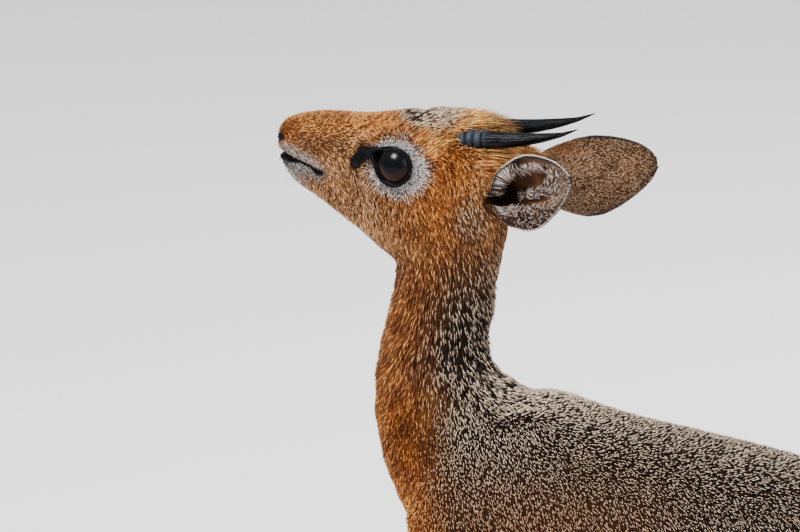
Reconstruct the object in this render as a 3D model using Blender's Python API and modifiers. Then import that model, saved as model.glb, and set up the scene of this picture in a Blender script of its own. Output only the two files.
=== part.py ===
"""A male dik-dik, life size, standing and stretching its head up level, as a still display model.

Metres, +Z up. The animal faces -X, its left side is at -Y, and its hooves stand on Z = 0.
The flesh is lofted in tubes, remeshed into one closed body, smoothed, and then parted into named
pieces with thin cuts. Eyes, horns, ears and hooves are pieces of their own, seated on the flesh.
"""

import math

import bmesh
import bpy
import numpy as np
from mathutils import Matrix, Vector

GAP = 0.0003            # what touching pieces keep between them
VOXEL = 0.0015          # grain of the remeshed flesh
HEAD_TRIANGLES = 2800
BODY_TRIANGLES = 3500
MERGE = 0.00001

LEFT, RIGHT = -1.0, 1.0
SIDES = {"left": LEFT, "right": RIGHT}

# Trunk, chest to rump, as upright sections: x, top of the back, belly line, half width.
TRUNK = (
    (-0.1100, 0.3730, 0.3480, 0.0120),
    (-0.1060, 0.3800, 0.3330, 0.0240),
    (-0.1000, 0.3840, 0.3195, 0.0320),
    (-0.0900, 0.3830, 0.3000, 0.0385),
    (-0.0750, 0.3815, 0.2780, 0.0435),
    (-0.0550, 0.3805, 0.2600, 0.0470),
    (-0.0300, 0.3795, 0.2500, 0.0490),
    (0.0000, 0.3785, 0.2440, 0.0515),
    (0.0370, 0.3690, 0.2410, 0.0545),
    (0.0750, 0.3618, 0.2400, 0.0565),
    (0.1120, 0.3550, 0.2440, 0.0560),
    (0.1500, 0.3470, 0.2540, 0.0520),
    (0.1850, 0.3400, 0.2650, 0.0480),
    (0.2120, 0.3310, 0.2720, 0.0420),
    (0.2320, 0.3190, 0.2790, 0.0320),
    (0.2440, 0.3070, 0.2880, 0.0170),
)
# Neck, head end to chest, as level sections: z, throat line, nape line, half width.
NECK = (
    (0.4950, -0.0960, -0.0330, 0.0190),
    (0.4800, -0.1000, -0.0322, 0.0205),
    (0.4640, -0.1030, -0.0360, 0.0212),
    (0.4488, -0.1028, -0.0393, 0.0212),
    (0.4328, -0.1053, -0.0410, 0.0216),
    (0.4170, -0.1091, -0.0445, 0.0224),
    (0.4045, -0.1116, -0.0444, 0.0238),
    (0.3930, -0.1138, -0.0400, 0.0262),
    (0.3840, -0.1141, -0.0300, 0.0295),
    (0.3760, -0.1143, -0.0160, 0.0330),
    (0.3640, -0.1146, -0.0050, 0.0370),
    (0.3500, -0.1115, 0.0000, 0.0400),
    (0.3320, -0.1035, 0.0050, 0.0400),
    (0.3150, -0.0920, 0.0000, 0.0340),
)
# Upper head, nose to occiput, as upright sections: x, profile line, lower edge, half width.
UPPER_HEAD = (
    (-0.1750, 0.5345, 0.5285, 0.0048),
    (-0.1735, 0.5385, 0.5240, 0.0078),
    (-0.1700, 0.5425, 0.5200, 0.0102),
    (-0.1621, 0.5457, 0.5150, 0.0124),
    (-0.1496, 0.5482, 0.5095, 0.0145),
    (-0.1371, 0.5486, 0.5045, 0.0164),
    (-0.1247, 0.5481, 0.4990, 0.0192),
    (-0.1122, 0.5490, 0.4940, 0.0226),
    (-0.0997, 0.5508, 0.4890, 0.0250),
    (-0.0860, 0.5525, 0.4850, 0.0258),
    (-0.0720, 0.5533, 0.4830, 0.0252),
    (-0.0580, 0.5525, 0.4830, 0.0240),
    (-0.0440, 0.5490, 0.4850, 0.0226),
    (-0.0330, 0.5420, 0.4890, 0.0198),
    (-0.0262, 0.5330, 0.4980, 0.0145),
    (-0.0230, 0.5230, 0.5080, 0.0070),
)
# Lower jaw and cheeks, chin to throat, in the same form.
LOWER_JAW = (
    (-0.1728, 0.5230, 0.5180, 0.0048),
    (-0.1702, 0.5225, 0.5128, 0.0072),
    (-0.1660, 0.5200, 0.5066, 0.0086),
    (-0.1600, 0.5170, 0.5018, 0.0097),
    (-0.1496, 0.5160, 0.4953, 0.0118),
    (-0.1371, 0.5170, 0.4860, 0.0140),
    (-0.1247, 0.5180, 0.4775, 0.0166),
    (-0.1122, 0.5200, 0.4668, 0.0196),
    (-0.0997, 0.5220, 0.4585, 0.0222),
    (-0.0860, 0.5240, 0.4545, 0.0238),
    (-0.0720, 0.5240, 0.4555, 0.0240),
    (-0.0580, 0.5220, 0.4600, 0.0230),
    (-0.0440, 0.5180, 0.4680, 0.0206),
    (-0.0350, 0.5120, 0.4780, 0.0160),
)
# Limbs, as rows of x, z, half depth, half width and distance from the midline.
SHOULDER = (
    (0.0020, 0.3560, 0.0200, 0.0080, 0.0270),
    (-0.0180, 0.3480, 0.0290, 0.0130, 0.0300),
    (-0.0480, 0.3220, 0.0340, 0.0165, 0.0350),
    (-0.0560, 0.2940, 0.0300, 0.0175, 0.0365),
    (-0.0400, 0.2640, 0.0255, 0.0165, 0.0365),
    (-0.0330, 0.2420, 0.0190, 0.0145, 0.0365),
    (-0.0340, 0.2180, 0.0150, 0.0122, 0.0365),
)
FORELEG = (
    (-0.0330, 0.2450, 0.0185, 0.0140, 0.0365),
    (-0.0340, 0.2180, 0.0148, 0.0120, 0.0365),
    (-0.0358, 0.1900, 0.0112, 0.0098, 0.0365),
    (-0.0378, 0.1640, 0.0090, 0.0084, 0.0367),
    (-0.0390, 0.1490, 0.0096, 0.0090, 0.0368),
    (-0.0392, 0.1400, 0.0096, 0.0090, 0.0368),
    (-0.0390, 0.1280, 0.0078, 0.0074, 0.0369),
    (-0.0395, 0.1080, 0.0065, 0.0060, 0.0370),
    (-0.0400, 0.0720, 0.0062, 0.0058, 0.0372),
    (-0.0402, 0.0540, 0.0070, 0.0066, 0.0373),
    (-0.0408, 0.0440, 0.0085, 0.0079, 0.0374),
    (-0.0440, 0.0310, 0.0072, 0.0074, 0.0374),
    (-0.0482, 0.0200, 0.0078, 0.0086, 0.0374),
    (-0.0510, 0.0110, 0.0070, 0.0078, 0.0374),
)
HAUNCH = (
    (0.2000, 0.3190, 0.0260, 0.0120, 0.0240),
    (0.1930, 0.3040, 0.0420, 0.0195, 0.0290),
    (0.1800, 0.2800, 0.0490, 0.0225, 0.0345),
    (0.1660, 0.2520, 0.0420, 0.0205, 0.0375),
    (0.1600, 0.2330, 0.0310, 0.0170, 0.0390),
    (0.1720, 0.2130, 0.0260, 0.0145, 0.0390),
)
HIND_LEG = (
    (0.1560, 0.2370, 0.0240, 0.0150, 0.0390),
    (0.1640, 0.2220, 0.0270, 0.0150, 0.0390),
    (0.1800, 0.2040, 0.0215, 0.0130, 0.0385),
    (0.2020, 0.1860, 0.0150, 0.0105, 0.0380),
    (0.2230, 0.1680, 0.0112, 0.0086, 0.0375),
    (0.2370, 0.1520, 0.0115, 0.0084, 0.0372),
    (0.2395, 0.1380, 0.0105, 0.0082, 0.0370),
    (0.2370, 0.1200, 0.0080, 0.0070, 0.0370),
    (0.2335, 0.0940, 0.0067, 0.0061, 0.0371),
    (0.2300, 0.0660, 0.0064, 0.0060, 0.0372),
    (0.2280, 0.0520, 0.0073, 0.0068, 0.0373),
    (0.2265, 0.0430, 0.0087, 0.0081, 0.0374),
    (0.2215, 0.0300, 0.0073, 0.0075, 0.0374),
    (0.2165, 0.0190, 0.0079, 0.0086, 0.0374),
    (0.2135, 0.0105, 0.0070, 0.0078, 0.0374),
)
HEEL_BONE = (
    (0.2330, 0.1480, 0.0080, 0.0065, 0.0371),
    (0.2440, 0.1540, 0.0072, 0.0062, 0.0371),
    (0.2500, 0.1575, 0.0042, 0.0040, 0.0371),
)
TAIL = (
    (0.2280, 0.3080, 0.0090, 0.0090, 0.0),
    (0.2400, 0.3040, 0.0090, 0.0100, 0.0),
    (0.2510, 0.2940, 0.0078, 0.0098, 0.0),
    (0.2570, 0.2810, 0.0062, 0.0082, 0.0),
    (0.2595, 0.2690, 0.0040, 0.0056, 0.0),
    (0.2600, 0.2620, 0.0014, 0.0020, 0.0),
)
# How far each leg stands ahead of (-) or behind (+) its plain place, to make an easy stance.
STEP = {"front_left": 0.006, "front_right": -0.010, "hind_left": -0.012, "hind_right": 0.008}

EYE_CENTRE = (-0.0955, 0.0152, 0.5216)
EYE_RADIUS = 0.0147
EYE_AXIS = (-0.22, 1.0, 0.06)
LID_THICKNESS = 0.0023
LID_OPENING = (0.0119, 0.0124)      # half width and half height
LID_CORNER = 0.0055                 # how far the front corner of the lids is drawn out
LID_SIDES = 18

HORN_LINE = (
    (-0.0660, 0.0125, 0.5310, 0.0040),
    (-0.0610, 0.0140, 0.5355, 0.0052),
    (-0.0550, 0.0160, 0.5386, 0.0057),
    (-0.0440, 0.0178, 0.5396, 0.0056),
    (-0.0310, 0.0192, 0.5399, 0.0050),
    (-0.0190, 0.0205, 0.5411, 0.0041),
    (-0.0074, 0.0216, 0.5429, 0.0031),
    (0.0053, 0.0226, 0.5457, 0.0015),
    (0.0156, 0.0234, 0.5497, 0.0003),
)
HORN_RINGS = 4                      # raised rings along the lower half of a horn
RING_HEIGHT = 0.0007

EAR_ROOT = (-0.0285, 0.0200, 0.5055)
EAR_LENGTH = 0.0830
EAR_SAG = 0.0020
EAR_BACK = 0.0080                   # how far the tube at the root bulges behind the ear's line
EAR_THICKNESS = 0.0016
EAR_DIRECTION = {"left": (0.636, 0.709, 0.307), "right": (0.950, 0.285, 0.131)}
# Share of the ear's length, half width, and the half angle that its cross-section curls through.
EAR_FORM = (
    (-0.16, 0.0090, 165.0),
    (0.02, 0.0102, 156.0),
    (0.12, 0.0126, 130.0),
    (0.22, 0.0162, 103.0),
    (0.33, 0.0198, 80.0),
    (0.45, 0.0224, 64.0),
    (0.57, 0.0228, 55.0),
    (0.69, 0.0208, 50.0),
    (0.80, 0.0166, 46.0),
    (0.90, 0.0108, 42.0),
    (0.97, 0.0052, 40.0),
    (1.00, 0.0016, 38.0),
)

# Mouth line from the front of the lips to its corner, then on through the cheek.
MOUTH_LINE = ((-0.1735, 0.5232), (-0.1640, 0.5195), (-0.1560, 0.5165), (-0.1490, 0.5140))
MOUTH_SLOPE = math.atan2(0.5232 - 0.5140, 0.1735 - 0.1490)
# Pockets cut in the face: centre, half length, half height, half width, and slope.
NOSTRIL = ((-0.1712, 0.0080, 0.5330), (0.0034, 0.0014, 0.0030), -0.5)
SCENT_GLAND = ((-0.1225, 0.0205, 0.5262), (0.0046, 0.0019, 0.0032), -0.75)

HOOF_LENGTH = 0.0270
HOOF_HEIGHT = 0.0175
TOE_SPREAD = 0.0054

LOCK_SEED = 7
LOCK_LENGTH = 0.0190
LOCK_WIDTH = 0.0030                 # half a lock's width at its widest
LOCK_ROWS = 5
LOCK_FIRST_ROW = -0.0840
LOCK_ROW_STEP = 0.0105

COAT = {"colour": (0.45, 0.27, 0.14, 1.0), "roughness": 0.9}
GRIZZLE = {"colour": (0.20, 0.15, 0.11, 1.0), "roughness": 0.9}
HORN = {"colour": (0.025, 0.024, 0.025, 1.0), "roughness": 0.45}
EYE = {"colour": (0.012, 0.008, 0.006, 1.0), "roughness": 0.08}
EAR = {"colour": (0.24, 0.19, 0.15, 1.0), "roughness": 0.85}


def clear_scene():
    for obj in list(bpy.data.objects):
        bpy.data.objects.remove(obj)


def collection(name, parent=None):
    made = bpy.data.collections.new(name)
    (parent or bpy.context.scene.collection).children.link(made)
    return made


def material(name, colour, roughness):
    made = bpy.data.materials.new(name)
    made.use_nodes = True
    shader = made.node_tree.nodes["Principled BSDF"]
    shader.inputs["Base Color"].default_value = colour
    shader.inputs["Roughness"].default_value = roughness
    return made


def add_object(name, mesh, home):
    obj = bpy.data.objects.new(name, mesh)
    home.objects.link(obj)
    return obj


def from_bmesh(name, bm, home):
    bmesh.ops.recalc_face_normals(bm, faces=bm.faces)
    mesh = bpy.data.meshes.new(name)
    bm.to_mesh(mesh)
    bm.free()
    return add_object(name, mesh, home)


def apply_modifiers(obj):
    graph = bpy.context.evaluated_depsgraph_get()
    mesh = bpy.data.meshes.new_from_object(obj.evaluated_get(graph))
    obj.modifiers.clear()
    obj.data = mesh
    return obj


def eased(rows, steps=3):
    """The rows with more between them, on a smooth curve through every number of a row."""
    table = np.array(rows, float)
    ends = np.vstack([2 * table[0] - table[1], table, 2 * table[-1] - table[-2]])
    made = []
    for i in range(1, len(ends) - 2):
        before, a, b, after = ends[i - 1 : i + 3]
        for t in np.arange(steps) / steps:
            made.append(
                0.5
                * (
                    2 * a
                    + (b - before) * t
                    + (2 * before - 5 * a + 4 * b - after) * t**2
                    + (3 * a - before - 3 * b + after) * t**3
                )
            )
    made.append(ends[-2])
    return np.array(made)


def upright_sections(rows):
    t = eased(rows)
    zero = np.zeros(len(t))
    centre = np.column_stack([t[:, 0], zero, (t[:, 1] + t[:, 2]) / 2])
    depth = np.column_stack([zero, zero, (t[:, 1] - t[:, 2]) / 2])
    width = np.column_stack([zero, t[:, 3], zero])
    return centre, depth, width


def level_sections(rows):
    t = eased(rows)
    zero = np.zeros(len(t))
    centre = np.column_stack([(t[:, 1] + t[:, 2]) / 2, zero, t[:, 0]])
    depth = np.column_stack([(t[:, 2] - t[:, 1]) / 2, zero, zero])
    width = np.column_stack([zero, t[:, 3], zero])
    return centre, depth, width


def limb_sections(rows, side, step=0.0, step_top=0.25):
    """Sections square to a limb's own line. step moves its foot, and fades out by step_top."""
    t = eased(rows)
    reach = np.clip((step_top - t[:, 1]) / step_top, 0, 1)
    centre = np.column_stack([t[:, 0] + step * reach, side * t[:, 4], t[:, 1]])
    along = np.gradient(centre, axis=0)
    along[:, 1] = 0
    along /= np.linalg.norm(along, axis=1)[:, None]
    depth = np.column_stack([-along[:, 2], 0 * along[:, 0], along[:, 0]]) * t[:, 2, None]
    width = np.column_stack([0 * t[:, 0], t[:, 3], 0 * t[:, 0]])
    return centre, depth, width


def loft(name, sections, home, sides=20, roundness=2.2):
    """A closed tube through the sections. A roundness over 2 makes its corners fuller."""
    angles = np.arange(sides) * math.tau / sides
    across = np.sign(np.cos(angles)) * np.abs(np.cos(angles)) ** (2 / roundness)
    beside = np.sign(np.sin(angles)) * np.abs(np.sin(angles)) ** (2 / roundness)
    bm = bmesh.new()
    rings = []
    for centre, depth, width in zip(*sections):
        rings.append(
            [bm.verts.new(centre + depth * a + width * b) for a, b in zip(across, beside)]
        )
    for near, far in zip(rings, rings[1:]):
        for i in range(sides):
            j = (i + 1) % sides
            bm.faces.new((near[i], near[j], far[j], far[i]))
    bm.faces.new(rings[0])
    bm.faces.new(rings[-1])
    return from_bmesh(name, bm, home)


def ball(name, centre, radius, home, segments=20, rings=12):
    bm = bmesh.new()
    bmesh.ops.create_uvsphere(bm, u_segments=segments, v_segments=rings, radius=radius)
    bmesh.ops.translate(bm, vec=centre, verts=bm.verts)
    return from_bmesh(name, bm, home)


def mirrored(point, side):
    return Vector((point[0], side * point[1], point[2]))


def joined(name, home):
    """All objects of a collection in one mesh, in a new object."""
    bm = bmesh.new()
    for obj in home.objects:
        bm.from_mesh(obj.data)
    mesh = bpy.data.meshes.new(name)
    bm.to_mesh(mesh)
    bm.free()
    made = add_object(name, mesh, bpy.context.scene.collection)
    for obj in list(home.objects):
        bpy.data.objects.remove(obj)
    return made


def corner_points(obj):
    points = np.empty(len(obj.data.vertices) * 3)
    obj.data.vertices.foreach_get("co", points)
    return points.reshape(-1, 3)


def corner_normals(obj):
    normals = np.empty(len(obj.data.vertices) * 3)
    obj.data.vertices.foreach_get("normal", normals)
    return normals.reshape(-1, 3)


def rise(value, low, high):
    t = np.clip((value - low) / (high - low), 0, 1)
    return t * t * (3 - 2 * t)


def smooth(obj, weights, iterations):
    group = obj.vertex_groups.new(name="soft")
    levels = np.round(np.clip(weights, 0, 1) * 20).astype(int)
    for level in np.unique(levels):
        found = np.nonzero(levels == level)[0].tolist()
        group.add(found, float(level) / 20, "REPLACE")
    modifier = obj.modifiers.new("soften", "SMOOTH")
    modifier.factor = 0.5
    modifier.iterations = iterations
    modifier.vertex_group = group.name
    apply_modifiers(obj)
    obj.vertex_groups.clear()


def build_flesh():
    """Neck, trunk, limbs, tail and head as one closed, softened body."""
    tubes = collection("tubes")
    loft("trunk", upright_sections(TRUNK), tubes, 28, 2.25)
    loft("neck", level_sections(NECK), tubes, 24, 2.1)
    loft("upper_head", upright_sections(UPPER_HEAD), tubes, 28, 2.35)
    loft("lower_jaw", upright_sections(LOWER_JAW), tubes, 24, 2.2)
    loft("tail", limb_sections(TAIL, LEFT), tubes, 16, 2.0)
    for word, side in SIDES.items():
        ball("orbit", mirrored(EYE_CENTRE, side), EYE_RADIUS + LID_THICKNESS, tubes, 32, 20)
        loft("shoulder", limb_sections(SHOULDER, side), tubes)
        loft("foreleg", limb_sections(FORELEG, side, STEP["front_" + word]), tubes, 18, 2.1)
        loft("haunch", limb_sections(HAUNCH, side), tubes)
        step = STEP["hind_" + word]
        loft("hind_leg", limb_sections(HIND_LEG, side, step), tubes, 18, 2.1)
        loft("heel_bone", limb_sections(HEEL_BONE, side, step), tubes, 12, 2.0)
        for fetlock, leg in ((FORELEG[10], "front_"), (HIND_LEG[11], "hind_")):
            for toe in (-1, 1):
                x = fetlock[0] + STEP[leg + word] * 0.82 + fetlock[2] * 0.95
                y = side * fetlock[4] + toe * 0.0042
                ball("dewclaw", (x, y, fetlock[1] - 0.003), 0.0031, tubes, 12, 8)
    flesh = joined("flesh", tubes)
    remesh = flesh.modifiers.new("one_body", "REMESH")
    remesh.mode = "VOXEL"
    remesh.voxel_size = VOXEL
    apply_modifiers(flesh)

    points = corner_points(flesh)
    x, z = points[:, 0], points[:, 2]
    trunk = rise(z, 0.20, 0.25)
    head = rise(z - 0.25 * x, 0.485, 0.500)
    smooth(flesh, trunk * (1 - 0.85 * head) + 0.10, 26)
    points = corner_points(flesh)
    x, z = points[:, 0], points[:, 2]
    joints = np.exp(-(((x + 0.100) / 0.030) ** 2 + ((z - 0.465) / 0.020) ** 2))
    joints += np.exp(-(((x + 0.030) / 0.030) ** 2 + ((z - 0.385) / 0.022) ** 2))
    joints += np.exp(-(((x - 0.150) / 0.040) ** 2 + ((z - 0.250) / 0.030) ** 2))
    smooth(flesh, joints, 30)
    return flesh


def near_line(points, line):
    """Each point's distance, seen from the side, to a line of x, z points."""
    flat = points[:, [0, 2]]
    best = np.full(len(points), np.inf)
    for a, b in zip(line, line[1:]):
        a, b = np.array(a), np.array(b)
        t = np.clip(((flat - a) @ (b - a)) / ((b - a) @ (b - a)), 0, 1)
        best = np.minimum(best, np.linalg.norm(flat - a - t[:, None] * (b - a), axis=1))
    return best


def pocket(place, side):
    """A long rounded cutter for a slit in the face, drawn to a narrower end at the back."""
    centre, halves, slope = place
    cutter = ball("pocket", (0, 0, 0), 1.0, bpy.context.scene.collection, 10, 6)
    points = corner_points(cutter)
    points[:, 2] *= 1 - 0.45 * points[:, 0]
    points *= (halves[0], halves[2], halves[1])
    turned = points.copy()
    turned[:, 0] = points[:, 0] * math.cos(slope) - points[:, 2] * math.sin(slope)
    turned[:, 2] = points[:, 0] * math.sin(slope) + points[:, 2] * math.cos(slope)
    turned += np.array(mirrored(centre, side))
    cutter.data.vertices.foreach_set("co", turned.ravel())
    cutter.data.update()
    return cutter


def shape_face(head):
    """Presses the line of the lips into the flesh, with a fuller lower lip under it."""
    points, normals = corner_points(head), corner_normals(head)
    press = 0.0018 * np.exp(-((near_line(points, MOUTH_LINE) / 0.0014) ** 2))
    lip = near_line(points, [(x, z - 0.0030) for x, z in MOUTH_LINE])
    press -= 0.0005 * np.exp(-((lip / 0.0018) ** 2))
    moved = points - normals * press[:, None]
    head.data.vertices.foreach_set("co", moved.ravel())
    head.data.update()


def keep_side(obj, point, normal):
    """Cuts a closed mesh by a plane, drops what lies past it along normal, and closes it."""
    bm = bmesh.new()
    bm.from_mesh(obj.data)
    everything = bm.verts[:] + bm.edges[:] + bm.faces[:]
    bmesh.ops.bisect_plane(
        bm, geom=everything, dist=MERGE, plane_co=point, plane_no=normal, clear_outer=True
    )
    rim = [edge for edge in bm.edges if edge.is_boundary]
    bmesh.ops.holes_fill(bm, edges=rim, sides=0)
    bm.to_mesh(obj.data)
    bm.free()


def thin_out(obj, triangles):
    modifier = obj.modifiers.new("fewer", "DECIMATE")
    count = sum(len(face.vertices) - 2 for face in obj.data.polygons)
    modifier.ratio = triangles / count
    apply_modifiers(obj)


def tidy(obj):
    """Merges corners that a cut left almost on each other, and drops faces that fold shut."""
    bm = bmesh.new()
    bm.from_mesh(obj.data)
    bmesh.ops.remove_doubles(bm, verts=bm.verts, dist=MERGE)
    bmesh.ops.dissolve_degenerate(bm, edges=bm.edges, dist=MERGE)
    bmesh.ops.triangulate(bm, faces=bm.faces)
    pairs = {}
    for face in bm.faces:
        pairs.setdefault(frozenset(vertex.index for vertex in face.verts), []).append(face)
    shut = [face for twins in pairs.values() if len(twins) == 2 for face in twins]
    if shut:
        bmesh.ops.delete(bm, geom=shut, context="FACES")
    bm.to_mesh(obj.data)
    bm.free()


def boolean(obj, others, operation, solver="EXACT"):
    """Applies one Boolean with a collection of closed meshes, and removes them."""
    home = collection("operands")
    for other in others:
        for used in list(other.users_collection):
            used.objects.unlink(other)
        home.objects.link(other)
    modifier = obj.modifiers.new("cut", "BOOLEAN")
    modifier.operation = operation
    modifier.solver = solver
    modifier.operand_type = "COLLECTION"
    modifier.collection = home
    apply_modifiers(obj)
    for other in others:
        bpy.data.objects.remove(other)
    bpy.data.collections.remove(home)
    tidy(obj)
    return obj


def slab(point, normal, size):
    """A cutter one gap thick, square to a normal in the XZ plane: size is its length and width."""
    square = Vector(normal).normalized()
    length = Vector((square.z, 0.0, -square.x)) * size[0]
    frame = Matrix((length, Vector((0.0, size[1], 0.0)), square * GAP)).transposed().to_4x4()
    bm = bmesh.new()
    bmesh.ops.create_cube(bm, size=1.0)
    bmesh.ops.transform(bm, matrix=Matrix.Translation(point) @ frame, verts=bm.verts)
    return from_bmesh("slab", bm, bpy.context.scene.collection)


def islands(bm):
    """The loose pieces of a mesh, each a set of faces."""
    left = set(bm.faces)
    found = []
    while left:
        seed = left.pop()
        piece, edge_faces = {seed}, [seed]
        while edge_faces:
            face = edge_faces.pop()
            for edge in face.edges:
                for other in edge.link_faces:
                    if other in left:
                        left.discard(other)
                        piece.add(other)
                        edge_faces.append(other)
        found.append(piece)
    return found


def largest_only(obj):
    bm = bmesh.new()
    bm.from_mesh(obj.data)
    found = islands(bm)
    keep = max(found, key=lambda piece: sum(face.calc_area() for face in piece))
    drop = [face for piece in found if piece is not keep for face in piece]
    if drop:
        bmesh.ops.delete(bm, geom=drop, context="FACES")
        bm.to_mesh(obj.data)
    bm.free()
    return obj


def split_into(obj, names, home):
    """Gives each loose piece of obj its own object, named by the nearest of names' points."""
    source = bmesh.new()
    source.from_mesh(obj.data)
    pieces = []
    for piece in islands(source):
        area = sum(face.calc_area() for face in piece)
        centre = sum((face.calc_center_median() * face.calc_area() for face in piece), Vector())
        pieces.append((area, centre / area, piece))
    pieces.sort(key=lambda item: -item[0])
    free = dict(names)
    made = {}
    for _area, centre, piece in pieces[: len(names)]:
        name = min(free, key=lambda n: (Vector(free[n]) - centre).length)
        free.pop(name)
        kept = {face.index for face in piece}
        bm = source.copy()
        bm.faces.ensure_lookup_table()
        rest = [face for face in bm.faces if face.index not in kept]
        bmesh.ops.delete(bm, geom=rest, context="FACES")
        mesh = bpy.data.meshes.new(name)
        bm.to_mesh(mesh)
        bm.free()
        made[name] = add_object(name, mesh, home)
    source.free()
    bpy.data.objects.remove(obj)
    return made


def grown(obj, by=GAP):
    """A copy of a closed mesh, pushed out along its normals, to cut a neighbour back with."""
    copy = add_object(obj.name + "_grown", obj.data.copy(), bpy.context.scene.collection)
    modifier = copy.modifiers.new("grow", "DISPLACE")
    modifier.strength = by
    modifier.mid_level = 0.0
    return apply_modifiers(copy)


def build_eye(word, side, home):
    return ball("eye_" + word, mirrored(EYE_CENTRE, side), EYE_RADIUS, home, 18, 11)


def lid_opening(side):
    """The cutter that opens the lids: a rounded almond that runs outwards along the eye's axis."""
    centre = mirrored(EYE_CENTRE, side)
    axis = mirrored(EYE_AXIS, side).normalized()
    up = (Vector((0.12, 0, 1)) - axis * axis.dot(Vector((0.12, 0, 1)))).normalized()
    front = up.cross(axis) * side
    bm = bmesh.new()
    rings = []
    for reach, scale in ((0.004, 0.80), (EYE_RADIUS, 1.0), (EYE_RADIUS + 0.008, 1.35)):
        ring = []
        for step in range(LID_SIDES):
            angle = math.tau * step / LID_SIDES
            ahead = LID_OPENING[0] * math.cos(angle)
            ahead += LID_CORNER * max(0.0, math.cos(angle - 0.35)) ** 9
            level = LID_OPENING[1] * math.sin(angle)
            level += 0.0018 * max(0.0, math.cos(angle)) ** 4
            offset = (front * ahead + up * level) * scale
            ring.append(bm.verts.new(centre + axis * reach + offset))
        rings.append(ring)
    for near, far in zip(rings, rings[1:]):
        for i in range(LID_SIDES):
            j = (i + 1) % LID_SIDES
            bm.faces.new((near[i], near[j], far[j], far[i]))
    bm.faces.new(rings[0])
    bm.faces.new(rings[-1])
    return from_bmesh("lid_opening", bm, bpy.context.scene.collection)


def build_horn(word, side, home):
    """A tapered horn along its line, ringed near its base."""
    t = eased(HORN_LINE, 3)
    centre = np.column_stack([t[:, 0], side * t[:, 1], t[:, 2]])
    share = np.linspace(0, 1, len(t))
    rings = RING_HEIGHT * np.cos(share * 2 * math.pi * HORN_RINGS / 0.5)
    radius = np.maximum(t[:, 3] + rings * (share < 0.5), 0.0003)
    along = np.gradient(centre, axis=0)
    along /= np.linalg.norm(along, axis=1)[:, None]
    up = np.cross(along, (0, 1.0, 0))
    beside = np.cross(up, along)
    sections = (centre, up * radius[:, None], beside * radius[:, None] * 0.92)
    return loft("horn_" + word, sections, home, 10, 2.0)


def build_ear(word, side, home):
    """A leaf-shaped cup on a short tube. Its opening faces out and forward."""
    direction = mirrored(EAR_DIRECTION[word], side).normalized()
    upward = (Vector((0, 0, 1)) - direction * direction.z).normalized()
    opening = upward.cross(direction) * side
    root = mirrored(EAR_ROOT, side)
    rows = eased(EAR_FORM, 1)
    turns = np.linspace(-1, 1, 11)
    bm = bmesh.new()
    grid = []
    for share, half_width, half_angle in rows:
        curl = math.radians(half_angle)
        radius = half_width / math.sin(min(curl, math.pi / 2))
        middle = root + direction * (share * EAR_LENGTH)
        middle -= upward * EAR_SAG * math.sin(math.pi * min(1.0, max(0.0, share)))
        row = []
        for turn in turns:
            across = radius * math.sin(curl * turn)
            lift = radius * (1 - math.cos(curl * turn)) - EAR_BACK * (1 - max(0.0, share)) ** 1.5
            row.append(bm.verts.new(middle + upward * across + opening * lift))
        grid.append(row)
    for near, far in zip(grid, grid[1:]):
        for i in range(len(turns) - 1):
            a, b, c, d = near[i], near[i + 1], far[i + 1], far[i]
            bm.faces.new((a, b, c))
            bm.faces.new((a, c, d))
    ear = from_bmesh("ear_" + word, bm, home)
    modifier = ear.modifiers.new("thickness", "SOLIDIFY")
    modifier.thickness = EAR_THICKNESS
    modifier.offset = 0.0
    modifier.use_even_offset = True
    return apply_modifiers(ear)


def build_hoof(name, toe_tip, y, home):
    """One cloven half: a pointed wedge of horn with a flat sole."""
    length, height = HOOF_LENGTH, HOOF_HEIGHT
    rows = (
        (toe_tip, 0.0016, -0.002, 0.0010),
        (toe_tip + length * 0.14, height * 0.36, -0.002, 0.0030),
        (toe_tip + length * 0.36, height * 0.72, -0.002, 0.0043),
        (toe_tip + length * 0.62, height * 1.00, -0.002, 0.0048),
        (toe_tip + length * 0.84, height * 0.93, -0.002, 0.0047),
        (toe_tip + length * 0.96, height * 0.66, -0.002, 0.0038),
        (toe_tip + length, height * 0.34, -0.002, 0.0022),
    )
    centre, depth, width = upright_sections(rows)
    centre[:, 1] = y
    hoof = loft(name, (centre[::3], depth[::3], width[::3]), home, 10, 2.8)
    keep_side(hoof, (0, 0, 0), (0, 0, -1))
    return hoof


def build_lock(root, lie, rise_up, length, width, bend):
    """One flat tapered lock of crest hair, as a bent strip with a ridge along it."""
    lie = Vector(lie).normalized()
    up = Vector(rise_up).normalized()
    beside = lie.cross(up).normalized()
    bm = bmesh.new()
    rings = []
    for share, size in ((-0.22, 0.8), (0.18, 1.0), (0.50, 0.85), (0.78, 0.5), (1.0, 0.12)):
        middle = root + lie * (share * length) + up * (bend * math.sin(share * 2.2) * length)
        half = width * size
        ring = [
            middle + beside * half,
            middle + up * (half * 0.55),
            middle - beside * half,
            middle - up * (half * 0.35),
        ]
        rings.append([bm.verts.new(point) for point in ring])
    for near, far in zip(rings, rings[1:]):
        for i in range(4):
            j = (i + 1) % 4
            bm.faces.new((near[i], near[j], far[j]))
            bm.faces.new((near[i], far[j], far[i]))
    bm.faces.new(rings[0])
    bm.faces.new(rings[-1])
    return from_bmesh("lock", bm, bpy.context.scene.collection)


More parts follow.
